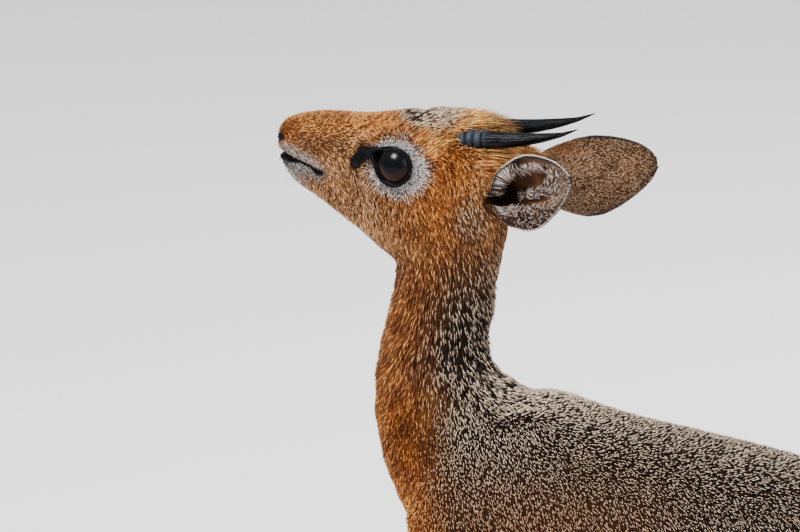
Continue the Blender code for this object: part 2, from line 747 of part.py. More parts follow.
def crest_locks(head):
    """Rows of locks over the crown, between the horns and back past them."""
    draw = np.random.default_rng(LOCK_SEED)
    locks = []
    for row in range(LOCK_ROWS):
        x = LOCK_FIRST_ROW + row * LOCK_ROW_STEP
        count = 4 - row % 2
        for place in range(count):
            y = (place - (count - 1) / 2) * 0.0056 + draw.uniform(-0.0006, 0.0006)
            start = Vector((x + draw.uniform(-0.002, 0.002), y, 0.60))
            hit, point, normal, _ = head.ray_cast(start, (0, 0, -1))
            if not hit:
                continue
            along = Vector((1.0, y * 6 + draw.uniform(-0.06, 0.06), 0.0))
            lie = along - normal * along.dot(normal) + normal * 0.12
            length = LOCK_LENGTH * draw.uniform(0.85, 1.15)
            root = point - normal * 0.0006
            locks.append(build_lock(root, lie, normal, length, LOCK_WIDTH, 0.05))
    return locks


def body_cuts():
    """Thin cutters between the parts of the trunk and limbs."""
    cuts = [
        slab((-0.065, 0.0, 0.3840), (-0.18, 0.0, 1.0), (0.16, 0.12)),
        slab((0.022, 0.0, 0.3050), (1.0, 0.0, 0.0), (0.22, 0.16)),
        slab((0.128, 0.0, 0.3000), (1.0, 0.0, -0.22), (0.22, 0.16)),
        slab((0.2455, 0.0, 0.2900), (1.0, 0.0, -0.1), (0.080, 0.050)),
    ]
    for word, side in SIDES.items():
        y = side * 0.040
        front, hind = STEP["front_" + word], STEP["hind_" + word]
        cuts.append(slab((-0.033 + front * 0.08, y, 0.2300), (0, 0, 1), (0.060, 0.062)))
        cuts.append(slab((-0.039 + front * 0.45, y, 0.1420), (0, 0, 1), (0.040, 0.040)))
        cuts.append(slab((-0.040 + front * 0.80, y, 0.0500), (0, 0, 1), (0.040, 0.040)))
        cuts.append(slab((0.170, y, 0.2290), (-0.25, 0, 1), (0.100, 0.068)))
        cuts.append(slab((0.2390 + hind * 0.40, y, 0.1420), (-0.15, 0, 1), (0.050, 0.040)))
        cuts.append(slab((0.2280 + hind * 0.80, y, 0.0480), (0.1, 0, 1), (0.040, 0.040)))
    return cuts


def body_names():
    names = {
        "neck": (-0.078, 0.0, 0.430),
        "chest": (-0.045, 0.0, 0.315),
        "barrel": (0.075, 0.0, 0.300),
        "rump": (0.185, 0.0, 0.295),
        "tail": (0.256, 0.0, 0.280),
    }
    for word, side in SIDES.items():
        y = side * 0.037
        names["forearm_" + word] = (-0.036, y, 0.185)
        names["fore_cannon_" + word] = (-0.039, y, 0.095)
        names["fore_foot_" + word] = (-0.045, y, 0.030)
        names["shank_" + word] = (0.200, y, 0.185)
        names["hind_cannon_" + word] = (0.234, y, 0.095)
        names["hind_foot_" + word] = (0.222, y, 0.030)
    return names


def build_body(flesh, neck_point, neck_normal, home):
    body = add_object("body", flesh.data.copy(), bpy.context.scene.collection)
    keep_side(body, neck_point + neck_normal * 0.012, neck_normal)
    thin_out(body, BODY_TRIANGLES)
    keep_side(body, neck_point - neck_normal * (GAP / 2), neck_normal)
    boolean(body, body_cuts(), "DIFFERENCE")
    return split_into(body, body_names(), home)


def build_head(flesh, neck_point, neck_normal, home):
    """Head, muzzle and jaw, with sockets for the eyes and open lids."""
    head = add_object("whole_head", flesh.data.copy(), bpy.context.scene.collection)
    keep_side(head, neck_point - neck_normal * 0.012, -neck_normal)
    shape_face(head)
    thin_out(head, HEAD_TRIANGLES)
    keep_side(head, neck_point + neck_normal * (GAP / 2), -neck_normal)
    locks = crest_locks(head)
    boolean(head, locks, "UNION")
    cutters = []
    for side in (LEFT, RIGHT):
        centre = mirrored(EYE_CENTRE, side)
        cutters.append(ball("socket", centre, EYE_RADIUS + GAP, home, 18, 11))
        cutters.append(lid_opening(side))
        cutters.append(pocket(NOSTRIL, side))
        cutters.append(pocket(SCENT_GLAND, side))
    boolean(head, cutters, "DIFFERENCE")
    slope = math.sin(MOUTH_SLOPE), math.cos(MOUTH_SLOPE)
    mouth = Vector((MOUTH_LINE[0][0], 0.0, MOUTH_LINE[0][1]))
    jaw_middle = mouth + Vector((slope[1], 0, -slope[0])) * 0.070
    cuts = [
        slab(jaw_middle, (slope[0], 0.0, slope[1]), (0.165, 0.090)),
        slab((-0.1300, 0.0, 0.5330), (1.0, 0.0, 0.0), (0.060, 0.070)),
    ]
    boolean(head, cuts, "DIFFERENCE")
    names = {
        "head": (-0.070, 0.0, 0.520),
        "muzzle": (-0.150, 0.0, 0.532),
        "jaw": (-0.130, 0.0, 0.495),
    }
    return split_into(head, names, home)


def stand_on_origin(parts):
    """Moves the whole animal so that the origin is under the middle of its box, on the floor."""
    points = np.vstack([corner_points(part) for part in parts])
    low, high = points.min(axis=0), points.max(axis=0)
    shift = -(low + high) / 2
    shift[2] = -low[2]
    for part in parts:
        part.data.vertices.foreach_set("co", (corner_points(part) + shift).ravel())
        part.data.update()


def build_all():
    clear_scene()
    home = collection("dik_dik")
    neck_point = Vector((-0.066, 0.0, 0.4640))
    neck_normal = Vector((-0.42, 0.0, 1.0)).normalized()
    flesh = build_flesh()
    body = build_body(flesh, neck_point, neck_normal, home)
    head = build_head(flesh, neck_point, neck_normal, home)
    bpy.data.objects.remove(flesh)

    looks = {
        name: material(name, **finish)
        for name, finish in (
            ("coat", COAT),
            ("grizzle", GRIZZLE),
            ("horn", HORN),
            ("eye", EYE),
            ("ear", EAR),
        )
    }
    finished = {name: "coat" for name in (*body, *head)}
    for name in ("neck", "chest", "barrel", "rump", "tail"):
        finished[name] = "grizzle"

    for word, side in SIDES.items():
        build_eye(word, side, home)
        finished["eye_" + word] = "eye"
        for part, look in (
            (build_horn(word, side, home), "horn"),
            (build_ear(word, side, home), "ear"),
        ):
            boolean(part, [grown(head["head"])], "DIFFERENCE")
            largest_only(part)
            finished[part.name] = look
        for leg, foot, line in (
            ("front", "fore_foot_", FORELEG),
            ("hind", "hind_foot_", HIND_LEG),
        ):
            toe_tip = line[-1][0] + STEP[leg + "_" + word] - 0.0130
            for place, toe in (("outer", side), ("inner", -side)):
                name = f"hoof_{leg}_{word}_{place}"
                y = side * line[-1][4] + toe * TOE_SPREAD
                hoof = build_hoof(name, toe_tip, y, home)
                boolean(body[foot + word], [grown(hoof)], "DIFFERENCE")
                finished[name] = "horn"
            largest_only(body[foot + word])

    stand_on_origin([bpy.data.objects[name] for name in finished])
    for name, look in finished.items():
        obj = bpy.data.objects[name]
        obj.data.materials.clear()
        obj.data.materials.append(looks[look])
        obj.data.shade_smooth()
        obj.data.set_sharp_from_angle(angle=math.radians(40))


build_all()
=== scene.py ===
# %% [markdown]
# # A life-size dik-dik
#
# A dik-dik is one of the smallest antelopes: 38 cm at the shoulder, with thin legs, a long soft
# nose, very large dark eyes, big ears and, on the male, two short ringed horns. This one stretches
# its neck and holds its chin up.
#
# The solid parts come ready made, as a frame of faceted pieces. This file dresses them: one
# seamless skin over all the flesh, a coat of short solid tufts that follow the lie of the hair,
# and finely made eyes, lids, ears, horns and hooves. Blender's particle hair would be the quick
# way to make fur, but it isn't mesh, and it gets lost when a model is exported. Tufts that are
# real little solids stay.

# %% Load the frame
import math

import bmesh
import bpy
import numpy as np
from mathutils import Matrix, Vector
from mathutils.bvhtree import BVHTree


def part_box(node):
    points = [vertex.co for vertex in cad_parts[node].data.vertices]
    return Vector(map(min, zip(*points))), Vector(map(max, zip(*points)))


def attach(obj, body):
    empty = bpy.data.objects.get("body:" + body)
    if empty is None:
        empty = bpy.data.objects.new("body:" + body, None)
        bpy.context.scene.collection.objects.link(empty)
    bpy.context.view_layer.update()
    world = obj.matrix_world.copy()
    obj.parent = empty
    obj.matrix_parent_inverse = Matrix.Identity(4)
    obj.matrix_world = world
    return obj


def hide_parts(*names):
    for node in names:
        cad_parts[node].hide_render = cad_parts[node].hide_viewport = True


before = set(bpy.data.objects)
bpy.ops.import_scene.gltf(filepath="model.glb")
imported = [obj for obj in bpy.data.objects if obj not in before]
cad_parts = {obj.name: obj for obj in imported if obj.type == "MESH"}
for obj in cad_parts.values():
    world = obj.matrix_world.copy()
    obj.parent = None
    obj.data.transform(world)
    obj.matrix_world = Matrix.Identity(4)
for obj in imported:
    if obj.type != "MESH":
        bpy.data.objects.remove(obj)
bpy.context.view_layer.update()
rng = np.random.default_rng(38)
print("nodes in the frame:", len(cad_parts))

# %% [markdown]
# ## The animal's own axes
#
# The frame's origin lies under the middle of the bounding box, which is handy for placing the
# model but not for thinking about the animal. Every place in this file is given from the point on
# the floor under the withers: x runs back along the animal, y to its right, and z up. The eyes
# tell where that point is, because a pair of eyes always has the midline between them.

# %% Find the animal's own origin
EYE_CENTRE = np.array((-0.0955, 0.0152, 0.5216))
EYE_RADIUS = 0.0147
LEFT, RIGHT = -1.0, 1.0
SIDES = {"left": LEFT, "right": RIGHT}


def middle(node):
    low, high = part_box(node)
    return np.array((low + high) / 2)


HOME = (middle("eye_left") + middle("eye_right")) / 2 - EYE_CENTRE * (1, 0, 1)
HOME[2] = 0.0
print("withers over", HOME.round(4))


def mirrored(point, side):
    return np.array(point, float) * (1, side, 1)


# %% [markdown]
# ## Small tools
#
# Almost everything here is made by moving many points at once, so the helpers work on arrays of
# points instead of single vertices. `rise` is a smooth step, `spot` is a soft round patch, and
# `near_line` measures how far points lie from a line drawn on the side of the head. Marks, folds
# and the lie of the hair are all mixed from these three.

# %% Array helpers
FAR = 0.1


def rise(value, low, high):
    t = np.clip((value - low) / (high - low), 0, 1)
    return t * t * (3 - 2 * t)


def folded(points):
    """Points with the right side folded onto the left, for marks that both sides have."""
    return np.column_stack([points[:, 0], np.abs(points[:, 1]), points[:, 2]])


def spot(points, centre, radii):
    """1 at the centre, fading smoothly over the radii. The y of the centre counts on both sides."""
    away = folded(points) - np.array(centre)
    return np.exp(-((away / np.array(radii)) ** 2).sum(axis=1))


def near_line(points, line):
    """Distance from a line of x, z points, seen from the side."""
    flat = points[:, [0, 2]]
    best = np.full(len(points), np.inf)
    for a, b in zip(np.array(line), np.array(line)[1:]):
        t = np.clip(((flat - a) @ (b - a)) / ((b - a) @ (b - a)), 0, 1)
        best = np.minimum(best, np.linalg.norm(flat - a - t[:, None] * (b - a), axis=1))
    return best


def side_line(points, line, middle=0.012):
    """Distance from a line on the side of the head. Points near the midline count as far away."""
    return near_line(points, line) + FAR * (abs(points[:, 1]) < middle)


def unit(vectors):
    return vectors / np.maximum(np.linalg.norm(vectors, axis=-1, keepdims=True), 1e-9)


def get(items, key, width):
    values = np.empty(len(items) * width, np.float32)
    items.foreach_get(key, values)
    return values.reshape(-1, width).astype(float)


def own_points(mesh):
    return get(mesh.vertices, "co", 3) - HOME


def set_own_points(mesh, points):
    mesh.vertices.foreach_set("co", (points + HOME).astype(np.float32).ravel())
    mesh.update()


def place_object(name, data):
    obj = bpy.data.objects.new(name, data)
    bpy.context.scene.collection.objects.link(obj)
    return obj


def mesh_from(name, points, faces):
    """A new object from points in the animal's own axes. All faces have the same corner count."""
    faces = np.asarray(faces, np.int32)
    count, corners = faces.shape
    mesh = bpy.data.meshes.new(name)
    mesh.vertices.add(len(points))
    mesh.loops.add(count * corners)
    mesh.polygons.add(count)
    mesh.loops.foreach_set("vertex_index", faces.ravel())
    mesh.polygons.foreach_set("loop_start", np.arange(0, count * corners, corners, dtype=np.int32))
    set_own_points(mesh, np.asarray(points, float))
    mesh.update(calc_edges=True)
    return place_object(name, mesh)


def object_from(name, bm):
    """A new object from what a bmesh holds."""
    mesh = bpy.data.meshes.new(name)
    bm.to_mesh(mesh)
    bm.free()
    return place_object(name, mesh)


def outward_faces(obj, fill_holes=False):
    """Turns every face outward, after closing open ends if that is asked."""
    bm = bmesh.new()
    bm.from_mesh(obj.data)
    if fill_holes:
        bmesh.ops.holes_fill(bm, edges=bm.edges, sides=0)
    bmesh.ops.recalc_face_normals(bm, faces=bm.faces)
    bm.to_mesh(obj.data)
    bm.free()


def smoothed(values, window, mode, **settings):
    """A row of numbers, smoothed over a window that is an odd number of them."""
    kernel = np.hanning(window) / np.hanning(window).sum()
    return np.convolve(np.pad(values, window // 2, mode, **settings), kernel, "valid")


def apply_modifiers(obj):
    graph = bpy.context.evaluated_depsgraph_get()
    mesh = bpy.data.meshes.new_from_object(obj.evaluated_get(graph))
    obj.modifiers.clear()
    obj.data = mesh


def store(mesh, name, values):
    """Keeps one number, or three, for each point, where a material can read them."""
    values = np.asarray(values, np.float32)
    kind = "FLOAT_VECTOR" if values.ndim == 2 else "FLOAT"
    attribute = mesh.attributes.new(name, kind, "POINT")
    attribute.data.foreach_set("vector" if values.ndim == 2 else "value", values.ravel())


def dress(obj, material, nodes=()):
    """Gives a finished piece its material, its place on the body and the nodes it stands for."""
    obj.data.materials.clear()
    obj.data.materials.append(material)
    obj.data.shade_smooth()
    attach(obj, "root")
    if nodes:
        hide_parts(*nodes)
    print(f"{obj.name}: {len(obj.data.polygons)} faces")
    return obj


# %% [markdown]
# ## Landmarks of the head
#
# The eyelids open in an almond shape that is drawn out at the front corner, towards the scent
# gland. The outline is a circle with two soft bumps added, so one short formula serves for the
# lids, the black rim, the pale ring of hair round the eye and the lashes.

# %% Eye frame and lid outline
LID_OPENING = (0.0119, 0.0108, 0.0124)
LID_DROP = 0.0016
LID_CORNER = 0.0068
EYE_AXIS = (-0.22, 1.0, 0.06)
MOUTH_LINE = ((-0.1745, 0.5236), (-0.1640, 0.5190), (-0.1560, 0.5161), (-0.1485, 0.5132))
GLAND_LINE = ((-0.1176, 0.5276), (-0.1200, 0.5252), (-0.1226, 0.5222))
HORN_LINE = np.array((
    (-0.0685, 0.0115, 0.5285, 0.0034), (-0.0660, 0.0125, 0.5310, 0.0042),
    (-0.0610, 0.0140, 0.5355, 0.0053), (-0.0550, 0.0160, 0.5386, 0.0057),
    (-0.0440, 0.0178, 0.5396, 0.0056), (-0.0310, 0.0192, 0.5399, 0.0050),
    (-0.0190, 0.0205, 0.5411, 0.0041), (-0.0074, 0.0216, 0.5429, 0.0031),
    (0.0053, 0.0226, 0.5457, 0.0015), (0.0156, 0.0234, 0.5497, 0.0003),
))
EAR_ROOT = (-0.0285, 0.0200, 0.5055)
EAR_DIRECTION = {"left": (0.636, 0.709, 0.307), "right": (0.950, 0.285, 0.131)}
BRIDGE_LINE = ((-0.1180, 0.5278), (-0.1096, 0.5290))


def eye_frame(side):
    """Centre, outward axis, direction to the nose and direction up, for one eye."""
    axis = unit(mirrored(EYE_AXIS, side))
    up = np.array((0.12, 0, 1.0))
    up = unit(up - axis * axis.dot(up))
    return mirrored(EYE_CENTRE, side), axis, np.cross(up, axis) * side, up


def lid_outline(angle):
    """How far the lids' edge lies ahead of and above the eye's axis, at angles round it."""
    ahead = LID_OPENING[0] * np.cos(angle)
    ahead = ahead + LID_CORNER * np.maximum(0, np.cos(angle - 0.35)) ** 9
    height = np.where(np.sin(angle) > 0, LID_OPENING[1], LID_OPENING[2])
    level = height * np.sin(angle) + 0.0018 * np.maximum(0, np.cos(angle)) ** 4
    return ahead, level


def beside_eye(away, axis):
    """Whether points, given from an eye's centre, lie on its side of the head and near it."""
    return (away @ axis > -0.004) & (np.linalg.norm(away, axis=1) < 0.05)


def around_eye(points):
    """Distance outside the lids' edge, and bearing in degrees: 0 to the nose and 90 up."""
    angles = np.linspace(0, math.tau, 120, endpoint=False)
    edge = np.hypot(*lid_outline(angles))
    turns = np.arctan2(*lid_outline(angles)[::-1])
    order = np.argsort(turns)
    distance, bearing = np.full(len(points), 0.5), np.zeros(len(points))
    for side in (LEFT, RIGHT):
        centre, axis, front, up = eye_frame(side)
        away = points - centre
        near = beside_eye(away, axis)
        ahead, level = away[near] @ front, away[near] @ up
        turn = np.arctan2(level, ahead)
        reach = np.interp(turn, turns[order], edge[order], period=math.tau)
        distance[near] = np.hypot(ahead, level) - reach
        bearing[near] = np.degrees(turn)
    return distance, bearing


def horn_distance(points):
    """Distance from the surface of the nearer horn."""
    one_side = folded(points)
    best = np.full(len(points), np.inf)
    for a, b in zip(HORN_LINE, HORN_LINE[1:]):
        step = b[:3] - a[:3]
        t = np.clip(((one_side - a[:3]) @ step) / (step @ step), 0, 1)
        radius = a[3] + t * (b[3] - a[3])
        away = np.linalg.norm(one_side - a[:3] - t[:, None] * step, axis=1)
        best = np.minimum(best, away - radius)
    return best


def lid_distance(points):
    return around_eye(points)[0]


# %% [markdown]
# ## One skin over all the flesh
#
# The frame's flesh is cut into named parts with thin gaps. A real animal has one skin, so the
# parts are swollen by a hair's breadth until they touch, and a voxel remesh melts them into one
# closed surface. Smoothing takes the facets out. The crest on the crown is solid locks in the
# frame; here they melt too, and long hair takes their place later.

# %% Melt the flesh into one surface
CROWN = np.array((
    (-0.0997, 0.5508, 0.4890, 0.0250), (-0.0860, 0.5525, 0.4850, 0.0258),
    (-0.0720, 0.5533, 0.4830, 0.0252), (-0.0580, 0.5525, 0.4830, 0.0240),
    (-0.0440, 0.5480, 0.4850, 0.0222), (-0.0360, 0.5425, 0.4890, 0.0175),
    (-0.0295, 0.5330, 0.4980, 0.0120), (-0.0250, 0.5230, 0.5080, 0.0060),
))
FLESH = ["head", "muzzle", "jaw", "neck", "chest", "barrel", "rump", "tail"]
for part in ("forearm", "fore_cannon", "fore_foot", "shank", "hind_cannon", "hind_foot"):
    FLESH += [f"{part}_{word}" for word in SIDES]
SWELL = 0.00026
GRAIN = 0.0010


def add_modifier(obj, kind, **settings):
    modifier = obj.modifiers.new(kind.lower(), kind)
    for key, value in settings.items():
        setattr(modifier, key, value)
    return modifier


def shave_crown(points):
    """Brings the locks of the crest down onto the round of the skull."""
    x, y, z = points.T
    top, bottom, half = (np.interp(x, CROWN[:, 0], CROWN[:, column]) for column in (1, 2, 3))
    round_off = (1 - np.minimum(abs(y) / half, 1) ** 2.35) ** (1 / 2.35)
    limit = (top + bottom) / 2 + (top - bottom) / 2 * round_off
    shaved = (x > -0.0960) & (z > limit) & (z > 0.530) & (abs(y) < 0.020)
    points[shaved, 2] = np.maximum(limit, 0.530)[shaved]
    return points


def melt_flesh():
    bm = bmesh.new()
    for node in FLESH:
        bm.from_mesh(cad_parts[node].data)
    bmesh.ops.remove_doubles(bm, verts=bm.verts, dist=1e-6)
    obj = object_from("skin", bm)
    set_own_points(obj.data, shave_crown(own_points(obj.data)))
    add_modifier(obj, "DISPLACE", strength=SWELL, mid_level=0.0)
    add_modifier(obj, "REMESH", mode="VOXEL", voxel_size=GRAIN)
    apply_modifiers(obj)
    return obj


def soften(obj, weights, iterations):
    """Smooths each point by its own weight."""
    group = obj.vertex_groups.new(name="soft")
    levels = np.round(np.clip(weights, 0, 1) * 12).astype(int)
    for level in range(1, 13):
        found = np.nonzero(levels == level)[0]
        if len(found):
            group.add(found.tolist(), level / 12, "REPLACE")
    add_modifier(obj, "SMOOTH", factor=0.5, iterations=iterations, vertex_group="soft")
    apply_modifiers(obj)
    obj.vertex_groups.clear()


skin = melt_flesh()
print("melted flesh:", len(skin.data.vertices), "points")


def neck_side(points):
    """Over 0 on the head's side of the joint with the neck, and below 0 on the neck's."""
    return (points - (-0.066, 0, 0.464)) @ unit(np.array((-0.42, 0, 1.0)))


def head_share(points):
    """1 on the head and 0 on the neck, with a soft border."""
    return rise(neck_side(points), -0.012, 0.014)


def crown(points):
    along = rise(points[:, 0], -0.098, -0.088) * (1 - rise(points[:, 0], -0.020, -0.012))
    return along * rise(points[:, 2], 0.530, 0.538) * (1 - rise(abs(points[:, 1]), 0.016, 0.022))


points = own_points(skin.data)
legs = 1 - rise(points[:, 2], 0.22, 0.26)
lids = 1 - rise(lid_distance(points), 0.001, 0.006)
soften(skin, np.clip(1 - 0.75 * legs - 0.8 * lids, 0.1, 1), 14)
soften(skin, crown(own_points(skin.data)), 24)
withers_bump = spot(own_points(skin.data), (-0.006, 0.0, 0.378), (0.034, 0.060, 0.034))
soften(skin, rise(withers_bump, 0.1, 0.5), 60)


def drop_upper_lids(points):
    """Slides the skin over each eye a little way down the eyeball."""
    for side in (LEFT, RIGHT):
        centre, axis, front, up = eye_frame(side)
        away = points - centre
        ahead, level = away @ front, away @ up
        weight = rise(level, 0.003, 0.0105) * (1 - rise(np.hypot(ahead, level), 0.0135, 0.0200))
        points -= np.outer(LID_DROP * weight * beside_eye(away, axis), up)
    return points


set_own_points(skin.data, drop_upper_lids(own_points(skin.data)))

# %% [markdown]
# ## Folds and lips
#
# The coat is short on the face, so small forms show: the closed line of the mouth with its bare
# black lips, the soft swelling of the nose, the crease over the upper lid and the brow. They are
# pressed into the skin along its own normals, which is what a sculptor's brush does.

# %% Press the face's small forms into the skin
def press_face(obj):
    points = own_points(obj.data)
    normals = get(obj.data.vertices, "normal", 3)
    line = near_line(points, MOUTH_LINE)
    out = -0.0019 * np.exp(-((line / 0.0011) ** 2))
    above = near_line(points, [(x, z + 0.0034) for x, z in MOUTH_LINE])
    below = near_line(points, [(x, z - 0.0036) for x, z in MOUTH_LINE])
    out += 0.0006 * np.exp(-((above / 0.0018) ** 2)) + 0.0009 * np.exp(-((below / 0.0020) ** 2))
    rim = lid_distance(points)
    out += 0.0004 * np.exp(-(((rim - 0.0014) / 0.0014) ** 2))
    out -= 0.0004 * np.exp(-(((rim - 0.0046) / 0.0012) ** 2))
    out += 0.0005 * spot(points, (-0.1010, 0.0245, 0.5390), (0.012, 0.010, 0.0035))
    gland = side_line(points, GLAND_LINE, 0.010)
    out += 0.0007 * np.exp(-(((gland - 0.0034) / 0.0016) ** 2))
    out -= 0.0014 * np.exp(-((gland / 0.0016) ** 2))
    return points + normals * out[:, None]


set_own_points(skin.data, press_face(skin))

# %% [markdown]
# ## How deep the coat is
#
# The frame's solids end where the hair ends. The skin has to lie inside them by the depth of the
# coat: about three millimetres on the back and neck, two on the cheek, and nothing at all on lids,
# lips and nostrils, where the skin is bare.

# %% Sink the skin under the coat
BACK_DEPTH = 0.0027
LID_BAND = ((-180, -135, -90, -50, -20, 20, 90, 180), (0.3, 0.7, 1.5, 0.9, 1.2, 1.0, 0.4, 0.3))


def gland_distance(points):
    return side_line(points, GLAND_LINE)


def in_ear_tube(points, word, side):
    """Distance along an ear from its root, distance from the tube's middle, and direction."""
    along = unit(mirrored(EAR_DIRECTION[word], side))
    up = unit(np.array((0, 0, 1.0)) - along * along[2])
    away = points - mirrored(EAR_ROOT, side) - np.cross(up, along) * side * 0.0022
    share = away @ along
    return share, np.linalg.norm(away - share[:, None] * along, axis=1), along


def ear_floor(points):
    """1 on the skin at the bottom of an ear's hollow."""
    inside = np.zeros(len(points))
    for word, side in SIDES.items():
        share, across, _ = in_ear_tube(points, word, side)
        inside = np.maximum(inside, rise(share, -0.0140, -0.0110) * (across < 0.0108))
    return inside


def bare(points):
    """1 on lids, lips, nostrils and scent glands, which have no hair."""
    x, _, z = points.T
    over = z - np.interp(x, *np.array(MOUTH_LINE).T)
    front = 1 - rise(x, -0.172, -0.159)
    corner = rise(x, -0.1535, -0.1488)
    above = 0.0009 + 0.0003 * front + 0.0006 * corner
    below = 0.0009 + 0.0030 * front + 0.0018 * corner
    lips = (1 - rise(over, above, above + 0.0007)) * rise(over, -below - 0.0009, -below)
    lips = lips * (1 - rise(near_line(points, MOUTH_LINE), 0.0040, 0.0050))
    distance, bearing = around_eye(points)
    band = np.interp(bearing, *LID_BAND) / 1000
    lids = 1 - rise(distance, band, band + 0.0007)
    gland = 1 - rise(gland_distance(points), 0.0034, 0.0044)
    gland = np.maximum(gland, 1 - rise(side_line(points, BRIDGE_LINE), 0.0024, 0.0034))
    nostril = rise(spot(points, (-0.1722, 0.0080, 0.5328), (0.0042, 0.006, 0.0030)), 0.35, 0.6)
    return np.clip(lips + lids + gland + nostril, 0, 1)


def coat_depth(points):
    head = rise(neck_side(points), -0.010, 0.012)
    muzzle = 1 - rise(points[:, 0], -0.165, -0.120)
    leg = 1 - rise(points[:, 2], 0.19, 0.25)
    neck = rise(points[:, 2], 0.36, 0.41)
    depth = (BACK_DEPTH + 0.0006 * neck) * (1 - head) + head * (0.0019 - 0.0009 * muzzle)
    depth = depth * (1 - leg) + leg * 0.0013
    depth = depth + 0.0012 * head * crown(points)
    foot = 1 - rise(points[:, 2], 0.03, 0.07)
    return depth * (1 - 0.35 * foot) * (1 - bare(points))


def clear_eyes(points):
    """Moves what lies inside an eyeball out to just over its surface."""
    for side in (LEFT, RIGHT):
        away = points - mirrored(EYE_CENTRE, side)
        distance = np.linalg.norm(away, axis=1)
        inside = distance < EYE_RADIUS + 0.0002
        points[inside] = (
            mirrored(EYE_CENTRE, side)
            + away[inside] / distance[inside, None] * (EYE_RADIUS + 0.0002)
        )
    return points


def hollow_ears(points):
    """Flattens the skin at the bottom of the ears, to leave their hollows open."""
    for word, side in SIDES.items():
        share, across, along = in_ear_tube(points, word, side)
        sunk = (1 - rise(across, 0.0098, 0.0112)) * np.maximum(share + 0.009, 0)
        points -= sunk[:, None] * along
    return points


points = hollow_ears(own_points(skin.data))
normals = get(skin.data.vertices, "normal", 3)
set_own_points(skin.data, clear_eyes(points - normals * coat_depth(points)[:, None]))
roots = own_points(skin.data)
root_normals = get(skin.data.vertices, "normal", 3)
print("skin sunk by up to", round(float(coat_depth(points).max()) * 1000, 1), "mm")

# %% [markdown]
# ## Markings
#
# Skin and hair have to carry the same markings, so one function gives them for any point. There
# are four marks. Rufous is the orange-brown of the nose, crown, throat and chest. Grizzle is the
# salt and pepper of the neck and back, where each hair is dark with a cream band near its tip.
# Pale is the ring round the eye, the lips' edge, the belly and the insides of the legs. Dark is
# bare black skin, and also painted shade at the bottom of the ears' hollows and under the lower
# lip. What none of them covers is fawn.

# %% Markings for any point
MARKS = ("rufous", "grizzle", "pale", "dark")
PROFILE = (
    (-0.175, 0.530), (-0.162, 0.546), (-0.137, 0.5486), (-0.112, 0.549),
    (-0.0935, 0.5547), (-0.0686, 0.5567), (-0.044, 0.553), (-0.031, 0.5475), (-0.023, 0.525),
)
NECK_AXIS = (
    (0.340, -0.058, 0.057), (0.376, -0.065, 0.049), (0.393, -0.0769, 0.037),
    (0.4045, -0.0780, 0.0336), (0.4170, -0.0768, 0.0323), (0.4488, -0.0710, 0.0318),
    (0.480, -0.0661, 0.034), (0.495, -0.0645, 0.0315),
)


def frontness(points):
    """From -1 at the nape to 1 at the throat."""
    table = np.array(NECK_AXIS)
    axis = np.interp(points[:, 2], table[:, 0], table[:, 1])
    half = np.interp(points[:, 2], table[:, 0], table[:, 2])
    return np.clip((axis - points[:, 0]) / half, -1.2, 1.2)


RING_WIDTH = (
    (-180, -135, -90, -50, -20, 8, 32, 60, 90, 130, 180),
    (6.4, 5.6, 4.0, 4.2, 3.6, 1.4, 1.6, 2.6, 2.8, 3.8, 6.4),
)
PATCH_CENTRE, PATCH_RADII = (-0.0835, 0.0, 0.5515), (0.0180, 0.0205, 0.0150)


def face_marks(points):
    x, _, z = points.T
    top = np.interp(x, *np.array(PROFILE).T)
    upper = rise(z, top - 0.016, top - 0.006)
    rufous = 0.12 + 0.66 * upper
    rufous += 0.95 * spot(points, (-0.066, 0.024, 0.528), (0.020, 0.02, 0.018))
    rufous += 0.75 * spot(points, (-0.076, 0.022, 0.500), (0.024, 0.02, 0.026))
    rufous += 0.35 * spot(points, (-0.108, 0.022, 0.540), (0.020, 0.02, 0.006))
    rufous += 0.38 * (1 - rise(neck_side(points), 0.0, 0.042))
    # The greyer spot below the front of the eye is painted shade.
    grizzle = 0.04 + 0.16 * spot(points, (-0.1165, 0.021, 0.506), (0.013, 0.02, 0.016))
    patch = rise(spot(points, PATCH_CENTRE, PATCH_RADII), 0.16, 0.42)
    below_ear = spot(points, (-0.0530, 0.024, 0.4915), (0.010, 0.02, 0.014))
    grizzle = np.maximum(grizzle, np.maximum(0.90 * patch, 0.50 * rise(below_ear, 0.05, 0.8)))
    rufous = rufous * (1 - patch) + 0.10 * patch
    rufous = rufous * (1 - 0.7 * rise(below_ear, 0.1, 0.6))
    return rufous, grizzle


def body_marks(points):
    x, _, z = points.T
    front = frontness(points)
    low_neck = rise(-z, -0.500, -0.420)
    neck_rufous = 0.40 + 0.34 * rise(front, -0.6, 0.6)
    neck_grizzle = (0.22 + 0.78 * low_neck) * rise(-front, -0.50, 0.30) + 0.05
    chest_front = 1 - rise(x, -0.090, -0.052)
    low = 1 - rise(z, 0.300, 0.365)
    body_rufous = 0.92 * chest_front + 0.72 * low * (1 - rise(x, 0.02, 0.12)) + 0.06
    body_grizzle = 1 - 0.92 * chest_front - 0.45 * (1 - rise(z, 0.240, 0.300))
    on_neck = rise(z, 0.372, 0.402) * (1 - rise(x, -0.02, 0.01))
    neck_rufous = neck_rufous * (1 - 0.75 * neck_grizzle * rise(-front, -0.05, 0.50))
    rufous = neck_rufous * on_neck + body_rufous * (1 - on_neck)
    grizzle = neck_grizzle * on_neck + body_grizzle * (1 - on_neck)
    trunk = rise(z, 0.225, 0.262)
    return rufous * trunk + 0.16 * (1 - trunk), grizzle * trunk + 0.08 * (1 - trunk)


